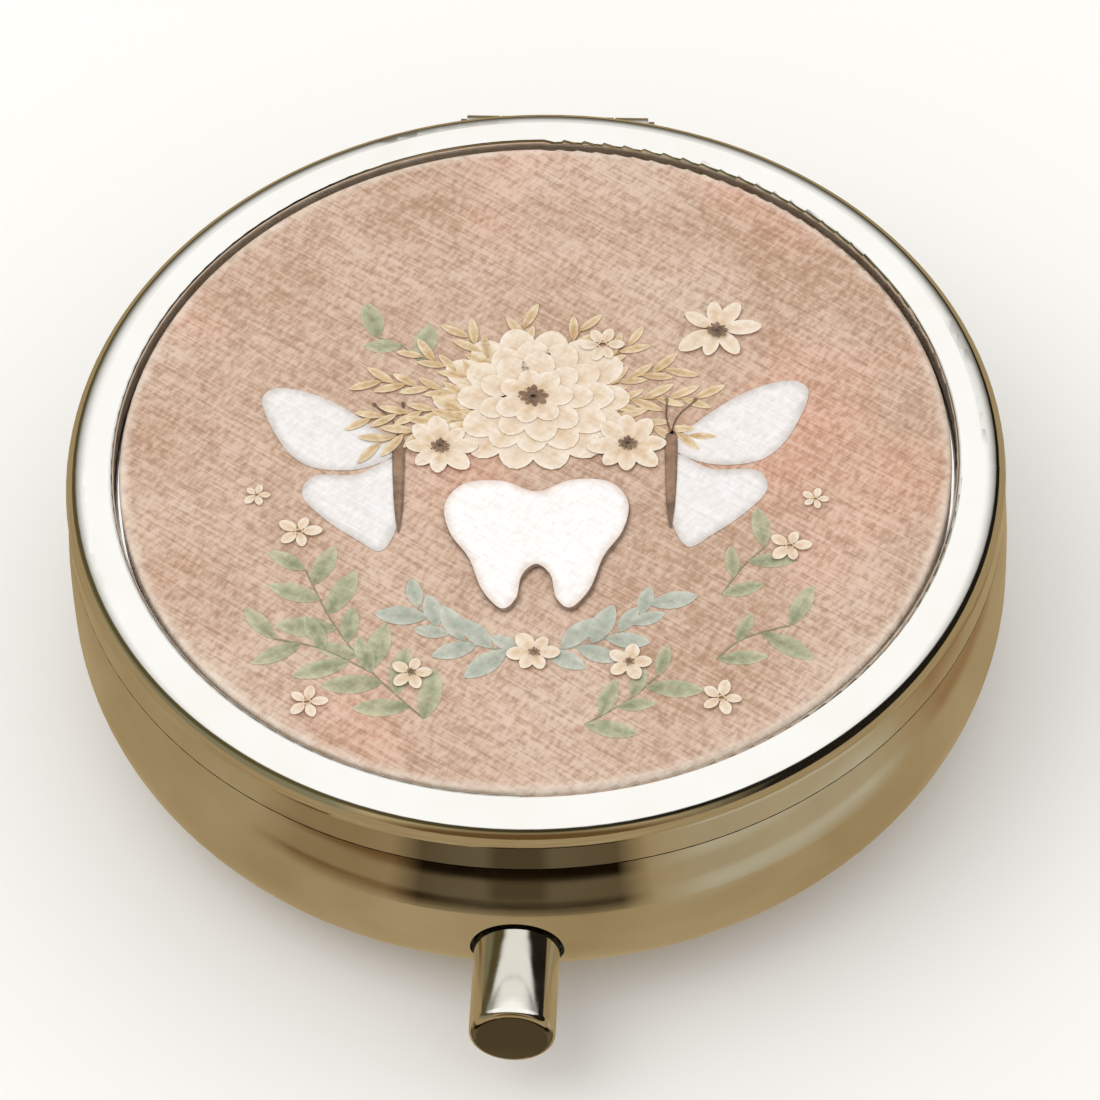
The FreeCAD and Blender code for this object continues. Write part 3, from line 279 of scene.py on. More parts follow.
GRAIN_TURN = math.radians(-33.0)
GRAIN_WIDTH = 0.15
GRAIN_LENGTH = 2.2


def painted_ground(tree, place):
    """Colour and grain height of the painted canvas-like ground, shared by every ink on it."""
    soft = add(tree, "ShaderNodeTexNoise", {"Vector": place, "Scale": per(9.0), "Detail": 3.0,
        "Roughness": 0.55})
    tone = add(tree, "ShaderNodeMix", {
        0: add(tree, "ShaderNodeMapRange", {"Value": soft, "From Min": 0.35, "From Max": 0.65}),
        6: colour("#ba977d"), 7: colour("#cdb19b")}, data_type="RGBA").outputs[2]
    blush = add(tree, "ShaderNodeTexNoise", {
        "Vector": add(tree, "ShaderNodeMapping", {"Vector": place, "Location": (0.031, 0.007, 0)}),
        "Scale": per(13.0), "Detail": 2.0, "Roughness": 0.5})
    tone = add(tree, "ShaderNodeMix", {
        0: add(tree, "ShaderNodeMapRange", {"Value": blush, "From Min": 0.52, "From Max": 0.72,
            "To Max": 0.6}),
        6: tone, 7: colour("#d99f86")}, data_type="RGBA").outputs[2]
    turned = add(tree, "ShaderNodeMapping", {"Vector": place, "Rotation": (0, 0, GRAIN_TURN),
        "Scale": (GRAIN_LENGTH / GRAIN_WIDTH, 1, 1)}, vector_type="TEXTURE")
    streak = add(tree, "ShaderNodeTexNoise", {"Vector": turned, "Scale": per(GRAIN_WIDTH), "Detail": 3.0,
        "Roughness": 0.55})
    crossed = add(tree, "ShaderNodeMapping", {"Vector": place, "Rotation": (0, 0, GRAIN_TURN),
        "Scale": (1, 2.2, 1)}, vector_type="TEXTURE")
    weave = add(tree, "ShaderNodeTexNoise", {"Vector": crossed, "Scale": per(0.22), "Detail": 2.0,
        "Roughness": 0.5})
    both = add(tree, "ShaderNodeMath", {0: streak, 1: weave}, operation="ADD")
    grain = add(tree, "ShaderNodeMapRange", {"Value": both, "From Min": 0.72, "From Max": 1.22})
    dark = add(tree, "ShaderNodeMix", {
        0: add(tree, "ShaderNodeMapRange", {"Value": grain, "From Max": 0.6, "To Min": 0.56,
            "To Max": 0.0}),
        6: tone, 7: colour("#8d6549")}, data_type="RGBA").outputs[2]
    light = add(tree, "ShaderNodeMix", {
        0: add(tree, "ShaderNodeMapRange", {"Value": grain, "From Min": 0.55, "To Max": 0.34}),
        6: dark, 7: colour("#e9d3c0")}, data_type="RGBA").outputs[2]
    return light, grain


def printed_plate():
    # Printed and coated board: rose-beige canvas print under a satin film.
    material, tree, surface, place = start_finish("satin_coated_print", roughness=0.42, ior=1.5)
    ground, grain = painted_ground(tree, place)
    flat = add(tree, "ShaderNodeVectorMath", {0: place, 1: (1, 1, 0)}, operation="MULTIPLY")
    out = add(tree, "ShaderNodeVectorMath", {0: flat}, operation="LENGTH").outputs["Value"]
    # Lighter towards the plate's edge, in patches.
    rim_patches = add(tree, "ShaderNodeTexNoise", {"Vector": place, "Scale": per(1.1), "Detail": 4.0,
        "Roughness": 0.65})
    edge = add(tree, "ShaderNodeMapRange", {"Value": out, "From Min": PLATE_RADIUS - 0.9 * MM,
        "From Max": PLATE_RADIUS - 0.1 * MM})
    pale_rim = add(tree, "ShaderNodeMath", {0: edge, 1: rim_patches}, operation="MULTIPLY")
    feed(surface, {
        "Base Color": add(tree, "ShaderNodeMix", {
            0: add(tree, "ShaderNodeMapRange", {"Value": pale_rim, "From Min": 0.15, "From Max": 0.75}),
            6: ground, 7: colour("#eadccb")}, data_type="RGBA").outputs[2]})
    feed(surface, {
        "Roughness": add(tree, "ShaderNodeMapRange", {"Value": grain, "To Min": 0.5, "To Max": 0.36})})
    feed(surface, {
        "Normal": add(tree, "ShaderNodeBump", {"Strength": 1.0, "Distance": 0.006 * MM, "Height": grain})})
    return material


def watercolour_ink(name, shade_code, light_code, cover):
    # Thin water-based ink: darker at its edge, lighter inside, with the ground's grain showing through.
    material, tree, surface, place = start_finish(name, roughness=0.42, ior=1.5)
    ground, grain = painted_ground(tree, place)
    inside = add(tree, "ShaderNodeAttribute", attribute_name="shade").outputs["Fac"]
    wash = add(tree, "ShaderNodeTexNoise", {"Vector": place, "Scale": per(0.7), "Detail": 4.0,
        "Roughness": 0.6})
    level = add(tree, "ShaderNodeMath", {0: inside,
        1: add(tree, "ShaderNodeMapRange", {"Value": wash, "From Min": 0.3, "From Max": 0.7,
            "To Min": -0.35, "To Max": 0.35})}, operation="ADD", use_clamp=True)
    ink = add(tree, "ShaderNodeMix", {0: level, 6: colour(shade_code), 7: colour(light_code)},
        data_type="RGBA").outputs[2]
    share = add(tree, "ShaderNodeMapRange", {"Value": wash, "From Min": 0.3, "From Max": 0.75,
        "To Min": min(1.0, cover + 0.12), "To Max": cover - 0.12})
    toned = add(tree, "ShaderNodeMix", {0: share, 6: ground, 7: ink}, data_type="RGBA").outputs[2]
    feed(surface, {
        "Base Color": add(tree, "ShaderNodeMix", {0: 0.35, 6: toned,
            7: add(tree, "ShaderNodeMix", {0: grain, 6: colour("#d8cfc4"), 7: colour("#ffffff")},
                data_type="RGBA").outputs[2]}, data_type="RGBA", blend_type="MULTIPLY").outputs[2]})
    feed(surface, {
        "Normal": add(tree, "ShaderNodeBump", {"Strength": 1.0, "Distance": 0.005 * MM, "Height": grain})})
    return material


# ---------------------------------------------------------------- print shapes

PRINT_TURN = math.radians(2.5)
INK_STEP = 0.006 * MM
INK_THICK = 0.008 * MM
# The angle, just under half a turn, whose sine swells a leaf, and how far each leaf lies above the last.
LEAF_SWEEP = 3.10
LEAF_LIFT = 0.0004 * MM


def on_print(u, v, level):
    """A place on the print, in millimetres right and up from its middle, as a point on the plate."""
    across = Vector((u * MM, v * MM, 0.0))
    across.rotate(Matrix.Rotation(PRINT_TURN, 3, "Z"))
    return across + Vector((0.0, 0.0, PLATE_TOP + level * INK_STEP))


def smooth_line(points, steps=8, closed=False):
    """Points of a smooth line through the given ones."""
    count = len(points)
    spans = count if closed else count - 1
    line = []
    for i in range(spans):
        a, b, c, d = (Vector(points[j % count] if closed else points[min(max(j, 0), count - 1)])
                      for j in (i - 1, i, i + 1, i + 2))
        for k in range(steps):
            t = k / steps
            line.append(0.5 * (2 * b + (c - a) * t + (2 * a - 5 * b + 4 * c - d) * t * t
                               + (3 * b - a - 3 * c + d) * t ** 3))
    if not closed:
        line.append(Vector(points[-1]))
    return line


def new_piece(name, mesh, material, body):
    """A finished mesh as a piece that rides on a body."""
    piece = bpy.data.objects.new(name, mesh)
    SCENE.collection.objects.link(piece)
    if material is not None:
        mesh.materials.clear()
        mesh.materials.append(material)
    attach(piece, body)
    return piece


def edge_distance(point, line):
    """Shortest distance from a point to a closed outline."""
    best = 1e9
    for i, start in enumerate(line):
        end = line[(i + 1) % len(line)]
        near, share = intersect_point_line(point, start, end)
        if share < 0:
            near = start
        elif share > 1:
            near = end
        best = min(best, (Vector((near[0], near[1])) - point).length)
    return best


def filled(line, spacing=0.3):
    """Points and triangles that fill a closed outline, and each point's distance from it."""
    count = len(line)
    low = [min(p[k] for p in line) for k in (0, 1)]
    steps = [int((max(p[k] for p in line) - low[k]) / spacing) + 1 for k in (0, 1)]
    grid = [Vector((low[0] + (i + 0.5) * spacing, low[1] + (j + 0.5) * spacing))
            for i in range(steps[0]) for j in range(steps[1])]
    grid = [p for p in grid if edge_distance(p, line) > 0.35 * spacing]
    edges = [(i, (i + 1) % count) for i in range(count)]
    points, _, triangles, *_ = delaunay_2d_cdt(line + grid, edges, [], 1, 1e-5)
    return points, triangles, [edge_distance(p, line) for p in points]


def ink_patches(name, outlines, level, rim_mm, material):
    """Flat closed patches of ink, darker near their edge by the shade attribute."""
    bm = bmesh.new()
    shade = bm.verts.layers.float.new("shade")
    for number, outline in enumerate(outlines):
        points, triangles, depths = filled(smooth_line(outline, closed=True))
        low = [bm.verts.new(on_print(p[0], p[1], level + 0.1 * number)) for p in points]
        top = [bm.verts.new(v.co + Vector((0, 0, INK_THICK))) for v in low]
        for v, depth in zip(top, depths):
            v[shade] = min(1.0, depth / rim_mm)
        uses = {}
        for a, b, c in triangles:
            bm.faces.new((top[a], top[b], top[c]))
            bm.faces.new((low[c], low[b], low[a]))
            for start, end in ((a, b), (b, c), (c, a)):
                uses.setdefault(frozenset((start, end)), []).append((start, end))
        for (start, end), in (ways for ways in uses.values() if len(ways) == 1):
            bm.faces.new((top[end], top[start], low[start], low[end]))
    loose = [v for v in bm.verts if not v.link_faces]
    bmesh.ops.delete(bm, geom=loose, context="VERTS")
    bmesh.ops.recalc_face_normals(bm, faces=bm.faces)
    mesh = bpy.data.meshes.new(name)
    bm.to_mesh(mesh)
    bm.free()
    return new_piece(name, mesh, material, "lid")


def leaves_tree():
    """Leaves or petals set along a path: flat, closed, and joined with the path's own thin stem."""
    tree = bpy.data.node_groups.new("leaves_on_path", "GeometryNodeTree")
    face = tree.interface
    face.new_socket("Geometry", in_out="INPUT", socket_type="NodeSocketGeometry")
    sizes = {"Spacing": 0.001, "Leaf length": 0.002, "Leaf width": 0.0008, "Leaf angle": 0.7,
             "Roundness": 0.8, "Stem width": 0.00012, "Thickness": INK_THICK, "Unevenness": 0.2}
    for name, size in sizes.items():
        face.new_socket(name, in_out="INPUT", socket_type="NodeSocketFloat").default_value = size
    face.new_socket("Both sides", in_out="INPUT", socket_type="NodeSocketBool").default_value = True
    face.new_socket("Seed", in_out="INPUT", socket_type="NodeSocketInt").default_value = 1
    face.new_socket("Ink", in_out="INPUT", socket_type="NodeSocketMaterial")
    face.new_socket("Geometry", in_out="OUTPUT", socket_type="NodeSocketGeometry")
    given = add(tree, "NodeGroupInput").outputs

    grid = add(tree, "GeometryNodeMeshGrid", {"Size X": 1.0, "Size Y": 1.0, "Vertices X": 11,
        "Vertices Y": 5})
    at = add(tree, "ShaderNodeSeparateXYZ", {0: add(tree, "GeometryNodeInputPosition")}).outputs
    along = add(tree, "ShaderNodeMath", {0: at["X"], 1: 0.5}, operation="ADD")
    sweep = add(tree, "ShaderNodeMath", {0: along, 1: LEAF_SWEEP}, operation="MULTIPLY")
    curve = add(tree, "ShaderNodeMath", {0: sweep}, operation="SINE")
    swell = add(tree, "ShaderNodeMath", {0: curve, 1: given["Roundness"]}, operation="POWER")
    half = add(tree, "ShaderNodeMath", {
        0: add(tree, "ShaderNodeMath", {0: swell, 1: 0.02}, operation="ADD"),
        1: given["Leaf width"]}, operation="MULTIPLY")
    side = add(tree, "ShaderNodeMath", {0: at["Y"], 1: half}, operation="MULTIPLY")
    forward = add(tree, "ShaderNodeMath", {0: along, 1: given["Leaf length"]}, operation="MULTIPLY")
    place = add(tree, "ShaderNodeCombineXYZ", {0: forward, 1: side, 2: 0.0})
    rib = add(tree, "ShaderNodeMath", {0: add(tree, "ShaderNodeMath", {0: at["Y"]}, operation="ABSOLUTE"),
        1: 2.0}, operation="MULTIPLY")
    tone = add(tree, "ShaderNodeMath", {
        0: add(tree, "ShaderNodeMath", {0: rib, 1: 0.45}, operation="MULTIPLY"),
        1: add(tree, "ShaderNodeMath", {0: along, 1: 0.5}, operation="MULTIPLY")}, operation="ADD")
    marked = add(tree, "GeometryNodeStoreNamedAttribute", {"Geometry": grid, "Name": "shade", "Value": tone},
        data_type="FLOAT")
    flat = add(tree, "GeometryNodeSetPosition", {"Geometry": marked, "Position": place})
    raised = add(tree, "GeometryNodeExtrudeMesh", {"Mesh": flat, "Offset": (0, 0, 1),
        "Offset Scale": given["Thickness"], "Individual": False})
    under = add(tree, "GeometryNodeFlipFaces", {0: flat})
    leaf = add(tree, "GeometryNodeJoinGeometry")
    feed(leaf, {0: raised})
    feed(leaf, {0: under})
    leaf = add(tree, "GeometryNodeMergeByDistance", {0: leaf, "Distance": 1e-7})

    path = add(tree, "GeometryNodeMeshToCurve", {0: given["Geometry"]})
    spots = add(tree, "GeometryNodeResampleCurve", {"Curve": path, "Length": given["Spacing"]},
        mode="LENGTH")
    number = add(tree, "GeometryNodeInputIndex")
    odd = add(tree, "ShaderNodeMath", {0: number, 1: 2.0}, operation="MODULO")
    other = add(tree, "ShaderNodeMath", {0: odd, 1: 2.0, 2: -1.0}, operation="MULTIPLY_ADD")
    one_side = add(tree, "GeometryNodeSwitch", {"Switch": given["Both sides"], "False": 1.0, "True": other},
        input_type="FLOAT")
    random = add(tree, "FunctionNodeRandomValue", {2: -1.0, 3: 1.0, "Seed": given["Seed"]},
                 data_type="FLOAT").outputs[1]
    drift = add(tree, "ShaderNodeMath", {0: random, 1: given["Unevenness"]}, operation="MULTIPLY")
    swing = add(tree, "ShaderNodeMath", {0: one_side,
        1: add(tree, "ShaderNodeMath", {0: given["Leaf angle"], 1: drift}, operation="ADD")},
        operation="MULTIPLY")
    heading = add(tree, "FunctionNodeAlignRotationToVector", {
        "Vector": add(tree, "GeometryNodeInputTangent")}, axis="X", pivot_axis="Z")
    spin = add(tree, "FunctionNodeAxisAngleToRotation", {"Axis": (0, 0, 1), "Angle": swing})
    turned = add(tree, "FunctionNodeRotateRotation", {0: heading, 1: spin}, rotation_space="LOCAL")
    grow = add(tree, "ShaderNodeMath", {0: 1.0, 1: drift}, operation="ADD")
    leaves = add(tree, "GeometryNodeInstanceOnPoints", {"Points": spots, "Instance": leaf,
        "Rotation": turned, "Scale": grow})
    step = add(tree, "ShaderNodeMath", {0: number, 1: LEAF_LIFT}, operation="MULTIPLY")
    lifted = add(tree, "GeometryNodeTranslateInstances", {"Instances": leaves,
        "Translation": add(tree, "ShaderNodeCombineXYZ", {2: step})})
    strip = add(tree, "GeometryNodeCurvePrimitiveQuadrilateral", {"Width": given["Stem width"],
        "Height": given["Thickness"]})
    upright = add(tree, "GeometryNodeSetCurveNormal", {0: path}, mode="Z_UP")
    stem = add(tree, "GeometryNodeCurveToMesh", {0: upright, 1: strip, "Fill Caps": True})
    stem = add(tree, "GeometryNodeStoreNamedAttribute", {"Geometry": stem, "Name": "shade", "Value": -0.2},
        data_type="FLOAT")
    both = add(tree, "GeometryNodeJoinGeometry")
    feed(both, {0: stem})
    feed(both, {0: lifted})
    whole = add(tree, "GeometryNodeRealizeInstances", {0: both})
    inked = add(tree, "GeometryNodeSetMaterial", {"Geometry": whole, "Material": given["Ink"]})
    add(tree, "NodeGroupOutput", {0: inked})
    return tree


def grown(tree, path_points, closed, **sizes):
    """The mesh that a node tree grows from a path, as a plain mesh."""
    mesh = bpy.data.meshes.new("path")
    count = len(path_points)
    edges = [(i, (i + 1) % count) for i in range(count if closed else count - 1)]
    mesh.from_pydata([tuple(p) for p in path_points], edges, [])
    holder = bpy.data.objects.new("path", mesh)
    SCENE.collection.objects.link(holder)
    grower = holder.modifiers.new("grow", "NODES")
    grower.node_group = tree
    named = {s.name: s.identifier for s in tree.interface.items_tree if s.in_out == "INPUT"}
    for key, given in sizes.items():
        grower[named[key.replace("_", " ").capitalize()]] = given
    holder.update_tag()
    bpy.context.view_layer.update()
    ready = holder.evaluated_get(bpy.context.evaluated_depsgraph_get())
    result = bpy.data.meshes.new_from_object(ready)
    holder.modifiers.clear()
    bpy.data.objects.remove(holder)
    return result


def gathered(name, meshes, material, body):
    """Several meshes joined into one piece."""
    bm = bmesh.new()
    for mesh in meshes:
        bm.from_mesh(mesh)
        bpy.data.meshes.remove(mesh)
    joined = bpy.data.meshes.new(name)
    bm.to_mesh(joined)
    bm.free()
    return new_piece(name, joined, material, body)


def sprig(tree, points, level, ink, **sizes):
    line = [on_print(p[0], p[1], level) for p in smooth_line([Vector(p) for p in points], 5)]
    return grown(tree, line, False, ink=ink, **sizes)


def petal_ring(tree, middle, radius, petals, level, ink, squash=1.0, **sizes):
    """Petals that point outwards from a small ring."""
    steps = petals * 3
    ring = [(middle[0] + radius * math.cos(i * math.tau / steps),
             middle[1] + radius * squash * math.sin(i * math.tau / steps)) for i in range(steps)]
    line = [on_print(u, v, level) for u, v in ring]
    return grown(tree, line, True, ink=ink, spacing=math.tau * radius * MM / (petals + 0.02),
                 leaf_angle=-math.pi / 2, both_sides=False, **sizes)


def mirrored(outline):
    return [(-u, v) for u, v in outline]


def shifted(outline, du, dv):
    return [(u + du, v + dv) for u, v in outline]


def tooth_outline():
    """A plain molar seen from the front: two cusps, waist and two roots."""
    half = [(0.1, -2.5), (1.9, -1.75), (3.9, -1.9), (4.9, -3.3), (4.6, -5.2), (3.6, -6.9), (2.9, -9.0),
            (1.9, -10.25), (1.15, -9.6), (0.85, -8.1), (0.1, -7.35)]
    return half + [(0.2 - u, v) for u, v in half[-2:0:-1]]


def butterfly_wings(side):
    """Fore and hind wing of a plain white butterfly, drawn on the right and mirrored for the left."""
    fore = [(7.3, 0.6), (9.0, 2.6), (11.3, 4.3), (13.5, 5.0), (14.5, 4.3), (14.0, 2.4), (12.9, 0.4),
            (11.4, -0.6), (9.0, -0.6)]
    hind = [(7.4, 0.0), (9.3, -1.0), (11.6, -1.1), (12.2, -2.4), (11.0, -4.0), (9.3, -5.4), (8.0, -6.2),
            (7.2, -4.6), (7.0, -2.2)]
    return [fore, hind] if side > 0 else [mirrored(fore), mirrored(hind)]


def print_on_lid():
    """Posy, tooth, butterflies and sprigs in thin inks on the plate."""
    sage = watercolour_ink("sage_watercolour_ink", "#7f8768", "#c3c7a4", 0.82)
    pale_sage = watercolour_ink("pale_sage_watercolour_ink", "#9aa394", "#c9cfc2", 0.9)
    cream = watercolour_ink("cream_watercolour_ink", "#d9bd9a", "#f6ecdc", 0.92)
    gold = watercolour_ink("straw_gold_watercolour_ink", "#bd9a68", "#f0dfbc", 0.93)
    white = watercolour_ink("white_gouache_ink", "#cfcac6", "#f1efee", 0.92)
    tooth_white = watercolour_ink("tooth_white_gouache_ink", "#e4d6cb", "#fdfbfa", 0.99)
    umber = watercolour_ink("umber_watercolour_ink", "#5d4634", "#8a6a4c", 0.9)
    tree = leaves_tree()
    lens = {"stem_width": 0.09 * MM, "roundness": 0.75, "unevenness": 0.22}

    greens = [
        sprig(tree, [(-5.6, -17.2), (-8.2, -14.3), (-10.4, -10.9), (-11.9, -7.4)], 2, sage,
              spacing=0.98 * MM, leaf_length=2.7 * MM, leaf_width=1.05 * MM, leaf_angle=0.75,
              seed=3, **lens),
        sprig(tree, [(-8.3, -14.2), (-10.9, -12.6), (-13.4, -11.9)], 3, sage, spacing=1.15 * MM,
              leaf_length=2.5 * MM, leaf_width=0.9 * MM, leaf_angle=0.65, seed=5, **lens),
        sprig(tree, [(2.6, -17.7), (4.8, -16.2), (6.4, -14.6)], 2, sage, spacing=0.95 * MM,
              leaf_length=2.5 * MM, leaf_width=0.95 * MM, leaf_angle=0.7, seed=7, **lens),
        sprig(tree, [(9.4, -13.6), (10.6, -12.4), (12.4, -11.7), (13.2, -11.5)], 2, sage, spacing=1.2 * MM,
              leaf_length=2.6 * MM, leaf_width=0.9 * MM, leaf_angle=0.75, seed=9, **lens),
        sprig(tree, [(9.7, -9.4), (10.8, -7.6), (12.0, -6.3)], 2, sage, spacing=1.1 * MM,
              leaf_length=2.2 * MM, leaf_width=0.8 * MM, leaf_angle=0.7, seed=11, **lens),
        sprig(tree, [(-6.2, 6.7), (-7.2, 7.9), (-8.4, 8.4)], 2, sage, spacing=1.25 * MM,
              leaf_length=2.4 * MM, leaf_width=1.1 * MM, leaf_angle=0.8, seed=13, **lens)]
    gathered("print_sage_sprigs", greens, sage, "lid")

    garland = []
    for side in (-1, 1):
        stem = [(side * 0.6, -12.9), (side * 2.6, -12.6), (side * 4.6, -11.6), (side * 6.0, -10.0)]
        garland.append(sprig(tree, stem, 4, pale_sage, spacing=0.8 * MM, leaf_length=2.3 * MM,
                             leaf_width=1.0 * MM, leaf_angle=0.6, seed=31 + side, **lens))
    gathered("print_pale_garland", garland, pale_sage, "lid")

    straws = []
    for number, angle in enumerate((-18, 6, 28, 50, 72, 94, 116, 138, 160, 184, 200)):
        c, s = math.cos(math.radians(angle)), math.sin(math.radians(angle))
        reach = 7.9 if 20 < angle < 150 else 8.6
        straws.append(sprig(tree, [(-0.1 + c * 2.5, 3.2 + s * 1.6), (-0.1 + c * 5.2, 3.2 + s * 3.4 + 0.3),
                                   (-0.1 + c * reach, 3.2 + s * reach * 0.72)], 6 + number, gold,
                            spacing=0.62 * MM, leaf_length=1.7 * MM, leaf_width=0.5 * MM, leaf_angle=0.42,
                            seed=40 + number, unevenness=0.12, stem_width=0.1 * MM, roundness=0.7))
    gathered("print_straw_ears", straws, gold, "lid")

    rings = [(4.1, 15, 3.0, 1.9, 12), (2.9, 12, 2.7, 1.8, 20),
             (1.8, 9, 2.4, 1.6, 28), (0.8, 7, 1.9, 1.3, 36)]
    petals = [petal_ring(tree, (-0.1, 4.0), radius * 0.72, count, level, cream, squash=0.86,
                         leaf_length=length * 0.78 * MM, leaf_width=width * MM, roundness=0.5,
                         unevenness=0.1, stem_width=0.3 * MM, seed=count)
              for radius, count, length, width, level in rings]
    small = [((9.7, 8.6), 0.35, 7, 1.9, 0.95), ((-5.0, 0.7), 0.4, 8, 1.6, 1.0),
             ((4.9, 0.7), 0.4, 8, 1.6, 1.0), ((0.0, -13.1), 0.25, 6, 1.1, 0.8),
             ((3.6, 7.6), 0.25, 6, 0.9, 0.6), ((4.9, -13.8), 0.2, 5, 0.95, 0.7),
             ((-6.3, -14.3), 0.2, 5, 0.85, 0.6), ((-12.3, -4.9), 0.2, 5, 0.95, 0.6),
             ((13.3, -6.3), 0.2, 5, 0.9, 0.6), ((-11.6, -16.1), 0.2, 5, 0.8, 0.5),
             ((9.6, -16.2), 0.2, 5, 0.95, 0.6), ((-14.6, -2.4), 0.15, 5, 0.6, 0.4),
             ((14.7, -3.2), 0.15, 5, 0.6, 0.4)]
    petals += [petal_ring(tree, middle, radius, count, 24, cream, squash=0.75, leaf_length=length * MM,
                          leaf_width=width * MM, roundness=0.55, unevenness=0.15, stem_width=0.1 * MM,
                          seed=count + i) for i, (middle, radius, count, length, width) in enumerate(small)]
    gathered("print_cream_blossoms", petals, cream, "lid")

    hearts = [petal_ring(tree, middle, radius, 9, 44, umber, squash=0.8, leaf_length=size * MM,
                         leaf_width=size * 0.6 * MM, roundness=0.6, unevenness=0.2, stem_width=radius * MM,
                         seed=4) for middle, radius, size in
              (((-0.1, 4.0), 0.28, 0.5), ((9.7, 8.4), 0.22, 0.35), ((-5.0, 0.7), 0.2, 0.3),
               ((4.9, 0.7), 0.2, 0.3), ((0.0, -13.1), 0.1, 0.18), ((4.9, -13.8), 0.08, 0.14),
               ((-6.3, -14.3), 0.08, 0.14))]
    gathered("print_blossom_hearts", hearts, umber, "lid")

    ink_patches("print_butterfly_wings", butterfly_wings(-1) + butterfly_wings(1), 4, 0.5, white)
    body = [(6.9, 1.2), (7.2, 1.5), (7.5, 1.2), (7.5, -0.6), (7.35, -3.4), (7.1, -5.0), (6.9, -3.4),
            (6.85, -0.6)]
    ink_patches("print_butterfly_bodies", [body, mirrored(body)], 12, 0.12, umber)
    feelers = [sprig(tree, [(side * 7.2, 1.4), (side * (7.2 + lean), 2.6), (side * (7.6 + lean * 2.4), 3.6)],
                     12, umber, spacing=2.35 * MM, leaf_length=0.3 * MM, leaf_width=0.22 * MM,
                     leaf_angle=0.1, seed=3, stem_width=0.08 * MM, roundness=0.6, unevenness=0.0)
               for side in (-1, 1) for lean in (-0.25, 0.35)]
    gathered("print_butterfly_feelers", feelers, umber, "lid")
    ink_patches("print_tooth_shadow", [shifted(tooth_outline(), 0.06, -0.16)], 30, 0.2, umber)
    ink_patches("print_tooth", [tooth_outline()], 34, 0.42, tooth_white)


# ---------------------------------------------------------------- springs

def wire_tree():
    """Round wire along a path."""
    tree = bpy.data.node_groups.new("wire_on_path", "GeometryNodeTree")
    face = tree.interface
    face.new_socket("Geometry", in_out="INPUT", socket_type="NodeSocketGeometry")
    face.new_socket("Wire radius", in_out="INPUT", socket_type="NodeSocketFloat").default_value = 0.00015
    face.new_socket("Facets", in_out="INPUT", socket_type="NodeSocketInt").default_value = 12
    face.new_socket("Steel", in_out="INPUT", socket_type="NodeSocketMaterial")
    face.new_socket("Geometry", in_out="OUTPUT", socket_type="NodeSocketGeometry")
    given = add(tree, "NodeGroupInput").outputs
    path = add(tree, "GeometryNodeMeshToCurve", {0: given["Geometry"]})
    round_wire = add(tree, "GeometryNodeCurvePrimitiveCircle", {"Resolution": given["Facets"],
        "Radius": given["Wire radius"]})
    wire = add(tree, "GeometryNodeCurveToMesh", {0: path, 1: round_wire, "Fill Caps": True})
    whole = add(tree, "GeometryNodeRealizeInstances", {0: wire})
    plated = add(tree, "GeometryNodeSetMaterial", {"Geometry": whole, "Material": given["Steel"]})
    add(tree, "NodeGroupOutput", {0: plated})
    return tree


RETURN_WIRE = 0.16 * MM
RETURN_TURNS = 5.5


def return_spring(tree, steel):
    """Compression spring behind the button, its end turns closed flat."""
    low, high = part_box("return_spring")
    mean = (high.z - low.z) / 2 - RETURN_WIRE
    axis_z = (high.z + low.z) / 2
    start, end = low.y + RETURN_WIRE, high.y - RETURN_WIRE
    steps = 220
    path = []
    for i in range(steps + 1):
        t = i / steps
        ease = 0.5 - 0.5 * math.cos(math.pi * t)
        rise = 0.8 * t + 0.2 * ease
        turn = math.tau * RETURN_TURNS * t
        path.append((mean * math.cos(turn), start + (end - start) * rise, axis_z + mean * math.sin(turn)))
    mesh = grown(tree, path, False, wire_radius=RETURN_WIRE, facets=14, steel=steel)
    piece = new_piece("return_spring_wire", mesh, steel, "base")
    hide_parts("return_spring")
    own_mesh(piece)


HINGE_WIRE = 0.14 * MM
HINGE_TURNS = 6.5
HINGE_SHEET = 0.4 * MM
LEG_REACH = 1.9 * MM
LEG_GAP = 0.05 * MM


def spring_leg_end(mean, knuckle, side):
    """Where a leg of the hinge spring ends and where it leaves the coil, as (y, z) from the hinge axis."""
    clear = knuckle - HINGE_SHEET - HINGE_WIRE - LEG_GAP
    rise = mean - (mean - clear) / (knuckle + HINGE_SHEET) * LEG_REACH
    end = Vector((-LEG_REACH, side * rise))
    spread = math.acos(mean / end.length)
    angle = math.atan2(end.y, end.x) - side * spread
    return end, angle


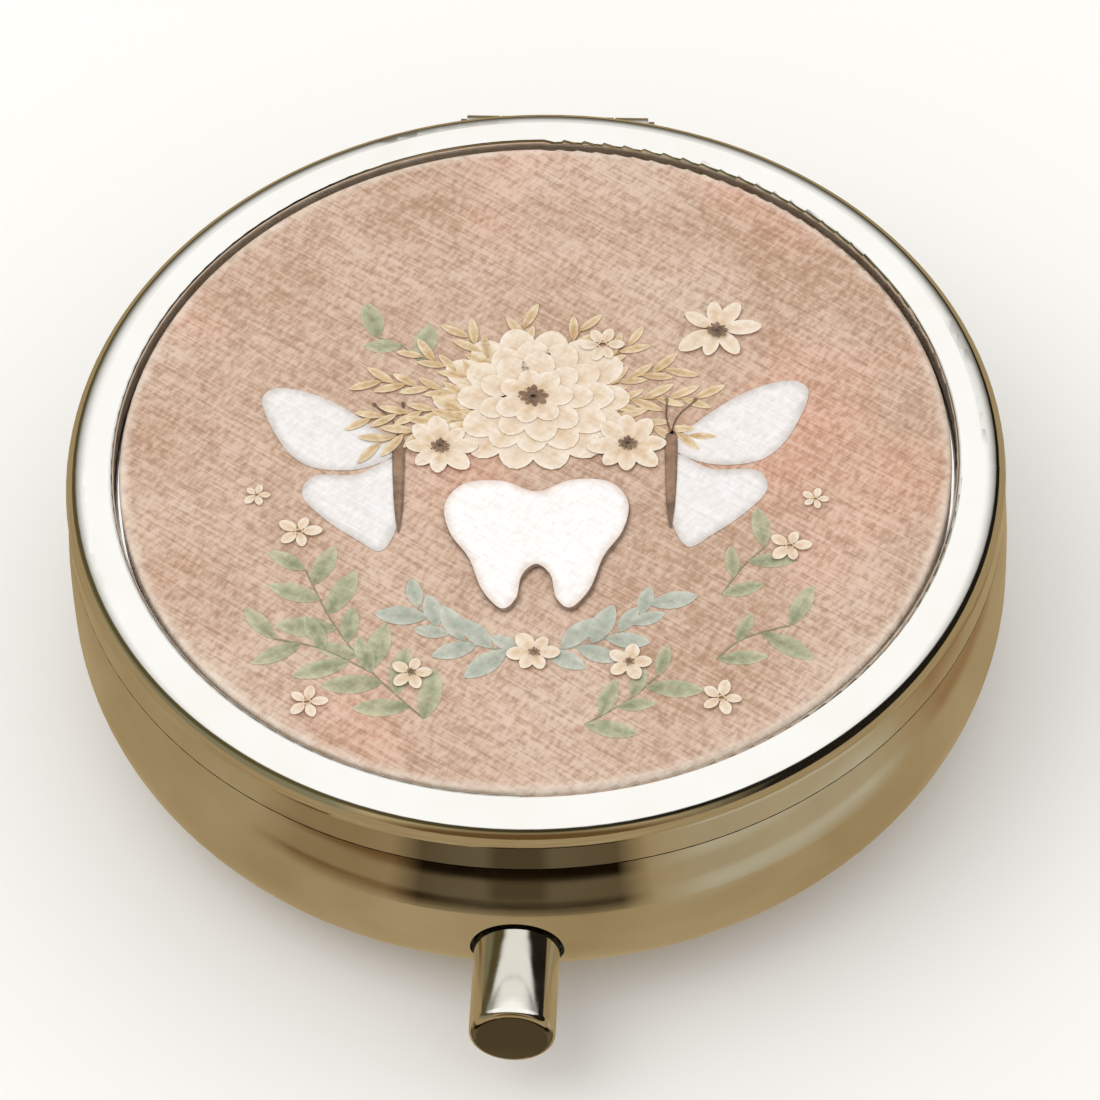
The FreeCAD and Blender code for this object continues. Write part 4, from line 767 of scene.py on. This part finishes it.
def hinge_spring(tree, steel):
    """Torsion spring about the pin: its coil and lower leg stay, its upper leg turns with the lid."""
    low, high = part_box("lid_spring")
    pin_low, pin_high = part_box("hinge_pin")
    axis_y, axis_z = (pin_low.y + pin_high.y) / 2, (pin_low.z + pin_high.z) / 2
    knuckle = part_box("hinge_leaf_lid")[1].y - axis_y
    mean = high.y - axis_y - HINGE_WIRE
    half = (high.x - low.x) / 2 - HINGE_WIRE
    lower_end, lower_angle = spring_leg_end(mean, knuckle, -1)
    upper_end, upper_angle = spring_leg_end(mean, knuckle, 1)

    def at(across, y, z):
        return (across, axis_y + y, axis_z + z)

    total = math.tau * HINGE_TURNS
    first = lower_angle % math.tau - 1.5 * math.pi
    last = total + upper_angle - 0.5 * math.pi
    path = [at(-half, lower_end.x, lower_end.y)]
    steps = 240
    for i in range(steps + 1):
        turn = first + (last - first) * i / steps
        across = min(half, max(-half, half * (2 * turn / total - 1)))
        path.append(at(across, mean * math.sin(turn), -mean * math.cos(turn)))
    mesh = grown(tree, path, False, wire_radius=HINGE_WIRE, facets=12, steel=steel)
    winding = new_piece("hinge_spring_coil", mesh, steel, "base")
    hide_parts("lid_spring")
    start = at(half, mean * math.cos(upper_angle), mean * math.sin(upper_angle))
    mesh = grown(tree, [start, at(half, upper_end.x, upper_end.y)], False, wire_radius=HINGE_WIRE, facets=12,
                 steel=steel)
    new_piece("hinge_spring_upper_leg", mesh, steel, "lid")


# ---------------------------------------------------------------- studio

CAMERA_TURN = math.radians(4.6)
CAMERA_RISE = math.radians(51.48)
CAMERA_ROLL = math.radians(-2.32)
CAMERA_DISTANCE = 350 * MM
CAMERA_AIM = Vector((0.60 * MM, 0.0, 7.17 * MM))
CAMERA_ORBIT = Vector((0.0, 0.0, 6.0 * MM))
SENSOR = 36.0
# The width that the view takes in at the distance of the box.
FRAME_WIDTH = 59.14 * MM
LENS = CAMERA_DISTANCE / FRAME_WIDTH * SENSOR
SHEET_HALF = 3.0
CARD_HEIGHT = -0.05 * MM
MIRROR_GLOW = 1.25


def studio_camera():
    data = bpy.data.cameras.new("product_camera")
    data.sensor_width = SENSOR
    data.lens = LENS
    data.clip_start = 0.01
    data.clip_end = 10.0
    camera = bpy.data.objects.new("product_camera", data)
    SCENE.collection.objects.link(camera)
    turn = Matrix.Rotation(CAMERA_TURN, 3, "Z")
    back = Vector((0.0, -math.cos(CAMERA_RISE), math.sin(CAMERA_RISE)))
    place = CAMERA_ORBIT + CAMERA_DISTANCE * back
    ahead = (CAMERA_AIM - place).normalized()
    right = ahead.cross(Vector((0, 0, 1))).normalized()
    up = right.cross(ahead)
    c, s = math.cos(CAMERA_ROLL), math.sin(CAMERA_ROLL)
    right, up = c * right + s * up, c * up - s * right
    axes = Matrix((right, up, -ahead)).transposed()
    camera.matrix_world = Matrix.Translation(turn @ place) @ (turn @ axes).to_4x4()
    SCENE.camera = camera


def studio_sheet(name, height, material):
    """A flat square sheet at the given height, for the studio."""
    mesh = bpy.data.meshes.new(name)
    corners = ((-1, -1), (1, -1), (1, 1), (-1, 1))
    mesh.from_pydata([(x * SHEET_HALF, y * SHEET_HALF, height) for x, y in corners], [], [(0, 1, 2, 3)])
    mesh.materials.append(material)
    sheet = bpy.data.objects.new(name, mesh)
    SCENE.collection.objects.link(sheet)
    return sheet


def pale_floor():
    """Plain pale paper floor, seen only from above, and not mirrored in the metal."""
    material, tree, surface, _ = start_finish("matt_white_paper", roughness=0.9, specular_ior_level=0.1)
    feed(surface, {"Base Color": colour("#f4f2ee")})
    behind = add(tree, "ShaderNodeNewGeometry").outputs["Backfacing"]
    clear = add(tree, "ShaderNodeBsdfTransparent")
    either = add(tree, "ShaderNodeMixShader", {0: behind, 1: surface, 2: clear})
    feed(tree.nodes["Material Output"], {"Surface": either})
    floor = studio_sheet("paper_floor", 0.0, material)
    floor.visible_glossy = False


# The ring of the painted reflection card, in millimetres from the box's axis, that the lid's band and the
# wall both mirror.
SHARED_NEAR = 33.0
SHARED_FAR = 35.8

# Painted reflection patches: heading from the front where a patch starts and ends and over which it fades,
# in degrees;
# nearest and farthest distance in millimetres; colour; strength; and how much of that is kept in the shared
# ring.
PAINTED_REFLECTION_PATCHES = (
    (-40, -20, 8, 31.8, 40.0, "#5a3d19", 0.9, 0.35),
    (24, 52, 10, 31.0, 40.5, "#b3ac95", 0.75, 0.4),
    (70, 88, 8, 31.0, 40.5, "#84643f", 0.8, 0.8),
    (-20, 10, 5, 31.8, 39.6, "#120a03", 1.0, 0.68),
    (-8.5, -2.0, 2, SHARED_NEAR, SHARED_FAR, "#2b1d0c", 0.5, 1.0))
PATCH_NEAR_FADE = 0.8
PATCH_FAR_FADE = 2.0


def painted_reflection_card():
    """Glowing card seen only in the metal: a painted reflection of a warm table, with painted dark, brown
    and grey reflection patches in front.
    """
    material = bpy.data.materials.new("painted_table_reflection_glow")
    material.use_nodes = True
    tree = material.node_tree
    tree.nodes.clear()
    place = add(tree, "ShaderNodeTexCoord").outputs["Object"]
    parts = add(tree, "ShaderNodeSeparateXYZ", {0: place}).outputs
    cloud = add(tree, "ShaderNodeTexNoise", {"Vector": place, "Scale": per(14.0), "Detail": 3.0,
        "Roughness": 0.5})
    tan = add(tree, "ShaderNodeMix", {
        0: add(tree, "ShaderNodeMapRange", {"Value": cloud, "From Min": 0.35, "From Max": 0.65}),
        6: colour("#a08d69"), 7: colour("#927d58")}, data_type="RGBA").outputs[2]

    length = add(tree, "ShaderNodeVectorMath", {0: place}, operation="LENGTH").outputs["Value"]
    out = add(tree, "ShaderNodeMath", {0: length, 1: MM}, operation="DIVIDE")
    heading = add(tree, "ShaderNodeMath", {0: parts["X"],
        1: add(tree, "ShaderNodeMath", {0: parts["Y"], 1: -1.0}, operation="MULTIPLY")}, operation="ARCTAN2")
    turn = add(tree, "ShaderNodeMath", {
        0: add(tree, "ShaderNodeMath", {0: heading, 1: CAMERA_TURN}, operation="SUBTRACT"),
        1: math.degrees(1.0)}, operation="MULTIPLY")
    shared = add(tree, "ShaderNodeMath", {
        0: add(tree, "ShaderNodeMapRange", {"Value": out, "From Min": SHARED_NEAR - PATCH_NEAR_FADE,
            "From Max": SHARED_NEAR}),
        1: add(tree, "ShaderNodeMapRange", {"Value": out, "From Min": SHARED_FAR,
            "From Max": SHARED_FAR + 1.0, "To Min": 1.0, "To Max": 0.0})}, operation="MULTIPLY")
    shade = tan
    for start, end, fade, near, far, code, share, kept in PAINTED_REFLECTION_PATCHES:
        sides = add(tree, "ShaderNodeMath", {
            0: add(tree, "ShaderNodeMapRange", {"Value": turn, "From Min": start - fade,
                "From Max": start}),
            1: add(tree, "ShaderNodeMapRange", {"Value": turn, "From Min": end, "From Max": end + fade,
                "To Min": 1.0, "To Max": 0.0})}, operation="MULTIPLY")
        depth = add(tree, "ShaderNodeMath", {
            0: add(tree, "ShaderNodeMapRange", {"Value": out, "From Min": near - PATCH_NEAR_FADE,
                "From Max": near + 0.6}),
            1: add(tree, "ShaderNodeMapRange", {"Value": out, "From Min": far,
                "From Max": far + PATCH_FAR_FADE, "To Min": 1.0, "To Max": 0.0})}, operation="MULTIPLY")
        weight = add(tree, "ShaderNodeMapRange", {"Value": shared, "To Min": share, "To Max": share * kept})
        shade = add(tree, "ShaderNodeMix", {
            0: add(tree, "ShaderNodeMath", {
                0: add(tree, "ShaderNodeMath", {0: sides, 1: depth}, operation="MULTIPLY"),
                1: weight}, operation="MULTIPLY"),
            6: shade, 7: colour(code)}, data_type="RGBA").outputs[2]
    # Painted reflection: the card turns dark far behind the box.
    shade = add(tree, "ShaderNodeMix", {
        0: add(tree, "ShaderNodeMapRange", {"Value": parts["Y"], "From Min": 0.12, "From Max": 0.30}),
        6: shade, 7: colour("#37332a")}, data_type="RGBA").outputs[2]
    glow = add(tree, "ShaderNodeEmission", {"Color": shade, "Strength": MIRROR_GLOW})
    add(tree, "ShaderNodeOutputMaterial", {0: glow})
    # The card glows though it is no lamp: a painted reflection that the camera, diffuse light and shadows
    # don't see.
    card = studio_sheet("painted_reflection_sheet", CARD_HEIGHT, material)
    card.visible_camera = False
    card.visible_diffuse = False
    card.visible_shadow = False
    card.visible_transmission = False


def studio_world():
    """For the metal, a white softbox overhead and darker walls near the horizon; else plain white."""
    world = bpy.data.worlds.new("soft_white_studio")
    SCENE.world = world
    world.use_nodes = True
    tree = world.node_tree
    tree.nodes.clear()
    heading = add(tree, "ShaderNodeTexCoord").outputs["Generated"]
    parts = add(tree, "ShaderNodeSeparateXYZ", {0: heading}).outputs
    tilt = add(tree, "ShaderNodeMath", {0: parts["Y"], 1: 0.42, 2: parts["Z"]}, operation="MULTIPLY_ADD")
    lit = add(tree, "ShaderNodeMapRange", {"Value": tilt, "From Min": 0.45, "From Max": 0.52})
    low = add(tree, "ShaderNodeMapRange", {"Value": tilt, "From Min": 0.10, "From Max": 0.24, "To Min": 1.0,
        "To Max": 0.0})
    front = add(tree, "ShaderNodeMapRange", {"Value": parts["Y"], "From Min": -0.80, "From Max": -0.93})
    dark = add(tree, "ShaderNodeMix", {
        0: add(tree, "ShaderNodeMapRange", {"Value": parts["X"], "From Min": -0.6, "From Max": 0.4}),
        6: colour("#544a2c"), 7: colour("#1a150c")}, data_type="RGBA").outputs[2]
    sides = add(tree, "ShaderNodeMix", {
        0: add(tree, "ShaderNodeMapRange", {"Value": parts["X"], "From Min": 0.35, "From Max": 0.75}),
        6: colour("#b09c74"), 7: colour("#1c1810")}, data_type="RGBA").outputs[2]
    sides = add(tree, "ShaderNodeMix", {
        0: add(tree, "ShaderNodeMapRange", {"Value": parts["X"], "From Min": -0.62, "From Max": -0.50,
            "To Min": 1.0, "To Max": 0.0}),
        6: sides, 7: colour("#7d775c")}, data_type="RGBA").outputs[2]
    bright = add(tree, "ShaderNodeMix", {0: front, 6: sides, 7: colour("#5e4626")},
        data_type="RGBA").outputs[2]
    wall = add(tree, "ShaderNodeMix", {0: low, 6: dark, 7: bright}, data_type="RGBA").outputs[2]
    behind = add(tree, "ShaderNodeMapRange", {"Value": parts["Y"], "From Min": -0.5, "From Max": 0.1})
    dusk = add(tree, "ShaderNodeMath", {0: behind,
        1: add(tree, "ShaderNodeMapRange", {"Value": parts["Z"], "From Min": 0.22, "From Max": 0.74,
            "To Min": 1.0, "To Max": 0.0})}, operation="MULTIPLY")
    ceiling = add(tree, "ShaderNodeMix", {0: dusk, 6: colour("#ffffff"), 7: colour("#77746c")},
        data_type="RGBA").outputs[2]
    room = add(tree, "ShaderNodeMix", {0: lit, 6: wall, 7: ceiling}, data_type="RGBA").outputs[2]
    mirrored_light = add(tree, "ShaderNodeBackground", {"Color": room, "Strength": MIRROR_GLOW})
    plain = add(tree, "ShaderNodeBackground", {"Color": colour("#ffffff"), "Strength": 1.0})
    ray = add(tree, "ShaderNodeLightPath").outputs["Is Glossy Ray"]
    either = add(tree, "ShaderNodeMixShader", {0: ray, 1: plain, 2: mirrored_light})
    add(tree, "ShaderNodeOutputWorld", {0: either})


def key_light():
    """Large soft light above and to the left, for gentle modelling."""
    data = bpy.data.lights.new("soft_key", "AREA")
    data.shape = "DISK"
    data.size = 0.5
    data.energy = 0.9
    light = bpy.data.objects.new("soft_key", data)
    SCENE.collection.objects.link(light)
    place = Vector((-0.35, -0.1, 0.6))
    light.location = place
    light.rotation_mode = "QUATERNION"
    light.rotation_quaternion = (-place).to_track_quat("-Z", "Y")
    light.visible_glossy = False


# ---------------------------------------------------------------- putting it together

def dress_nodes():
    """Each carried-over part gets its finish on its own material slots."""
    sheet = bright_plated_sheet()
    hinge = hinge_plate_steel()
    stamped = stamped_spring_plate()
    rivet = peened_rivet_steel()
    wire = spring_wire_steel()
    finishes = {
        "base_shell": sheet, "lid_shell": sheet, "base_collar": sheet,
        "lid_liner": mirror_liner_sheet(), "push_button": turned_button_steel(),
        "insert_plate": printed_plate(), "insert_adhesive": clear_adhesive(),
        "pill_tray": tray_polypropylene(),
        "hinge_leaf_base": hinge, "hinge_leaf_lid": hinge, "hinge_pin": hinge, "spring_washer": hinge,
        "latch_bracket": stamped, "latch_slide": stamped, "lid_catch": stamped,
        "lid_spring": wire, "retaining_clip": wire, "return_spring": wire,
        "hinge_rivets_base": rivet, "hinge_rivets_lid": rivet, "catch_rivets": rivet}
    for name, node in NODES.items():
        for index in range(len(node.material_slots)):
            node.material_slots[index].link = "OBJECT"
            node.material_slots[index].material = finishes[name]
    return wire


def main():
    wire = dress_nodes()
    print_on_lid()
    springs = wire_tree()
    return_spring(springs, wire)
    hinge_spring(springs, wire)
    studio_camera()
    pale_floor()
    painted_reflection_card()
    studio_world()
    key_light()
    NODES["push_button"].visible_glossy = False
    SCENE.view_settings.view_transform = "Standard"


main()
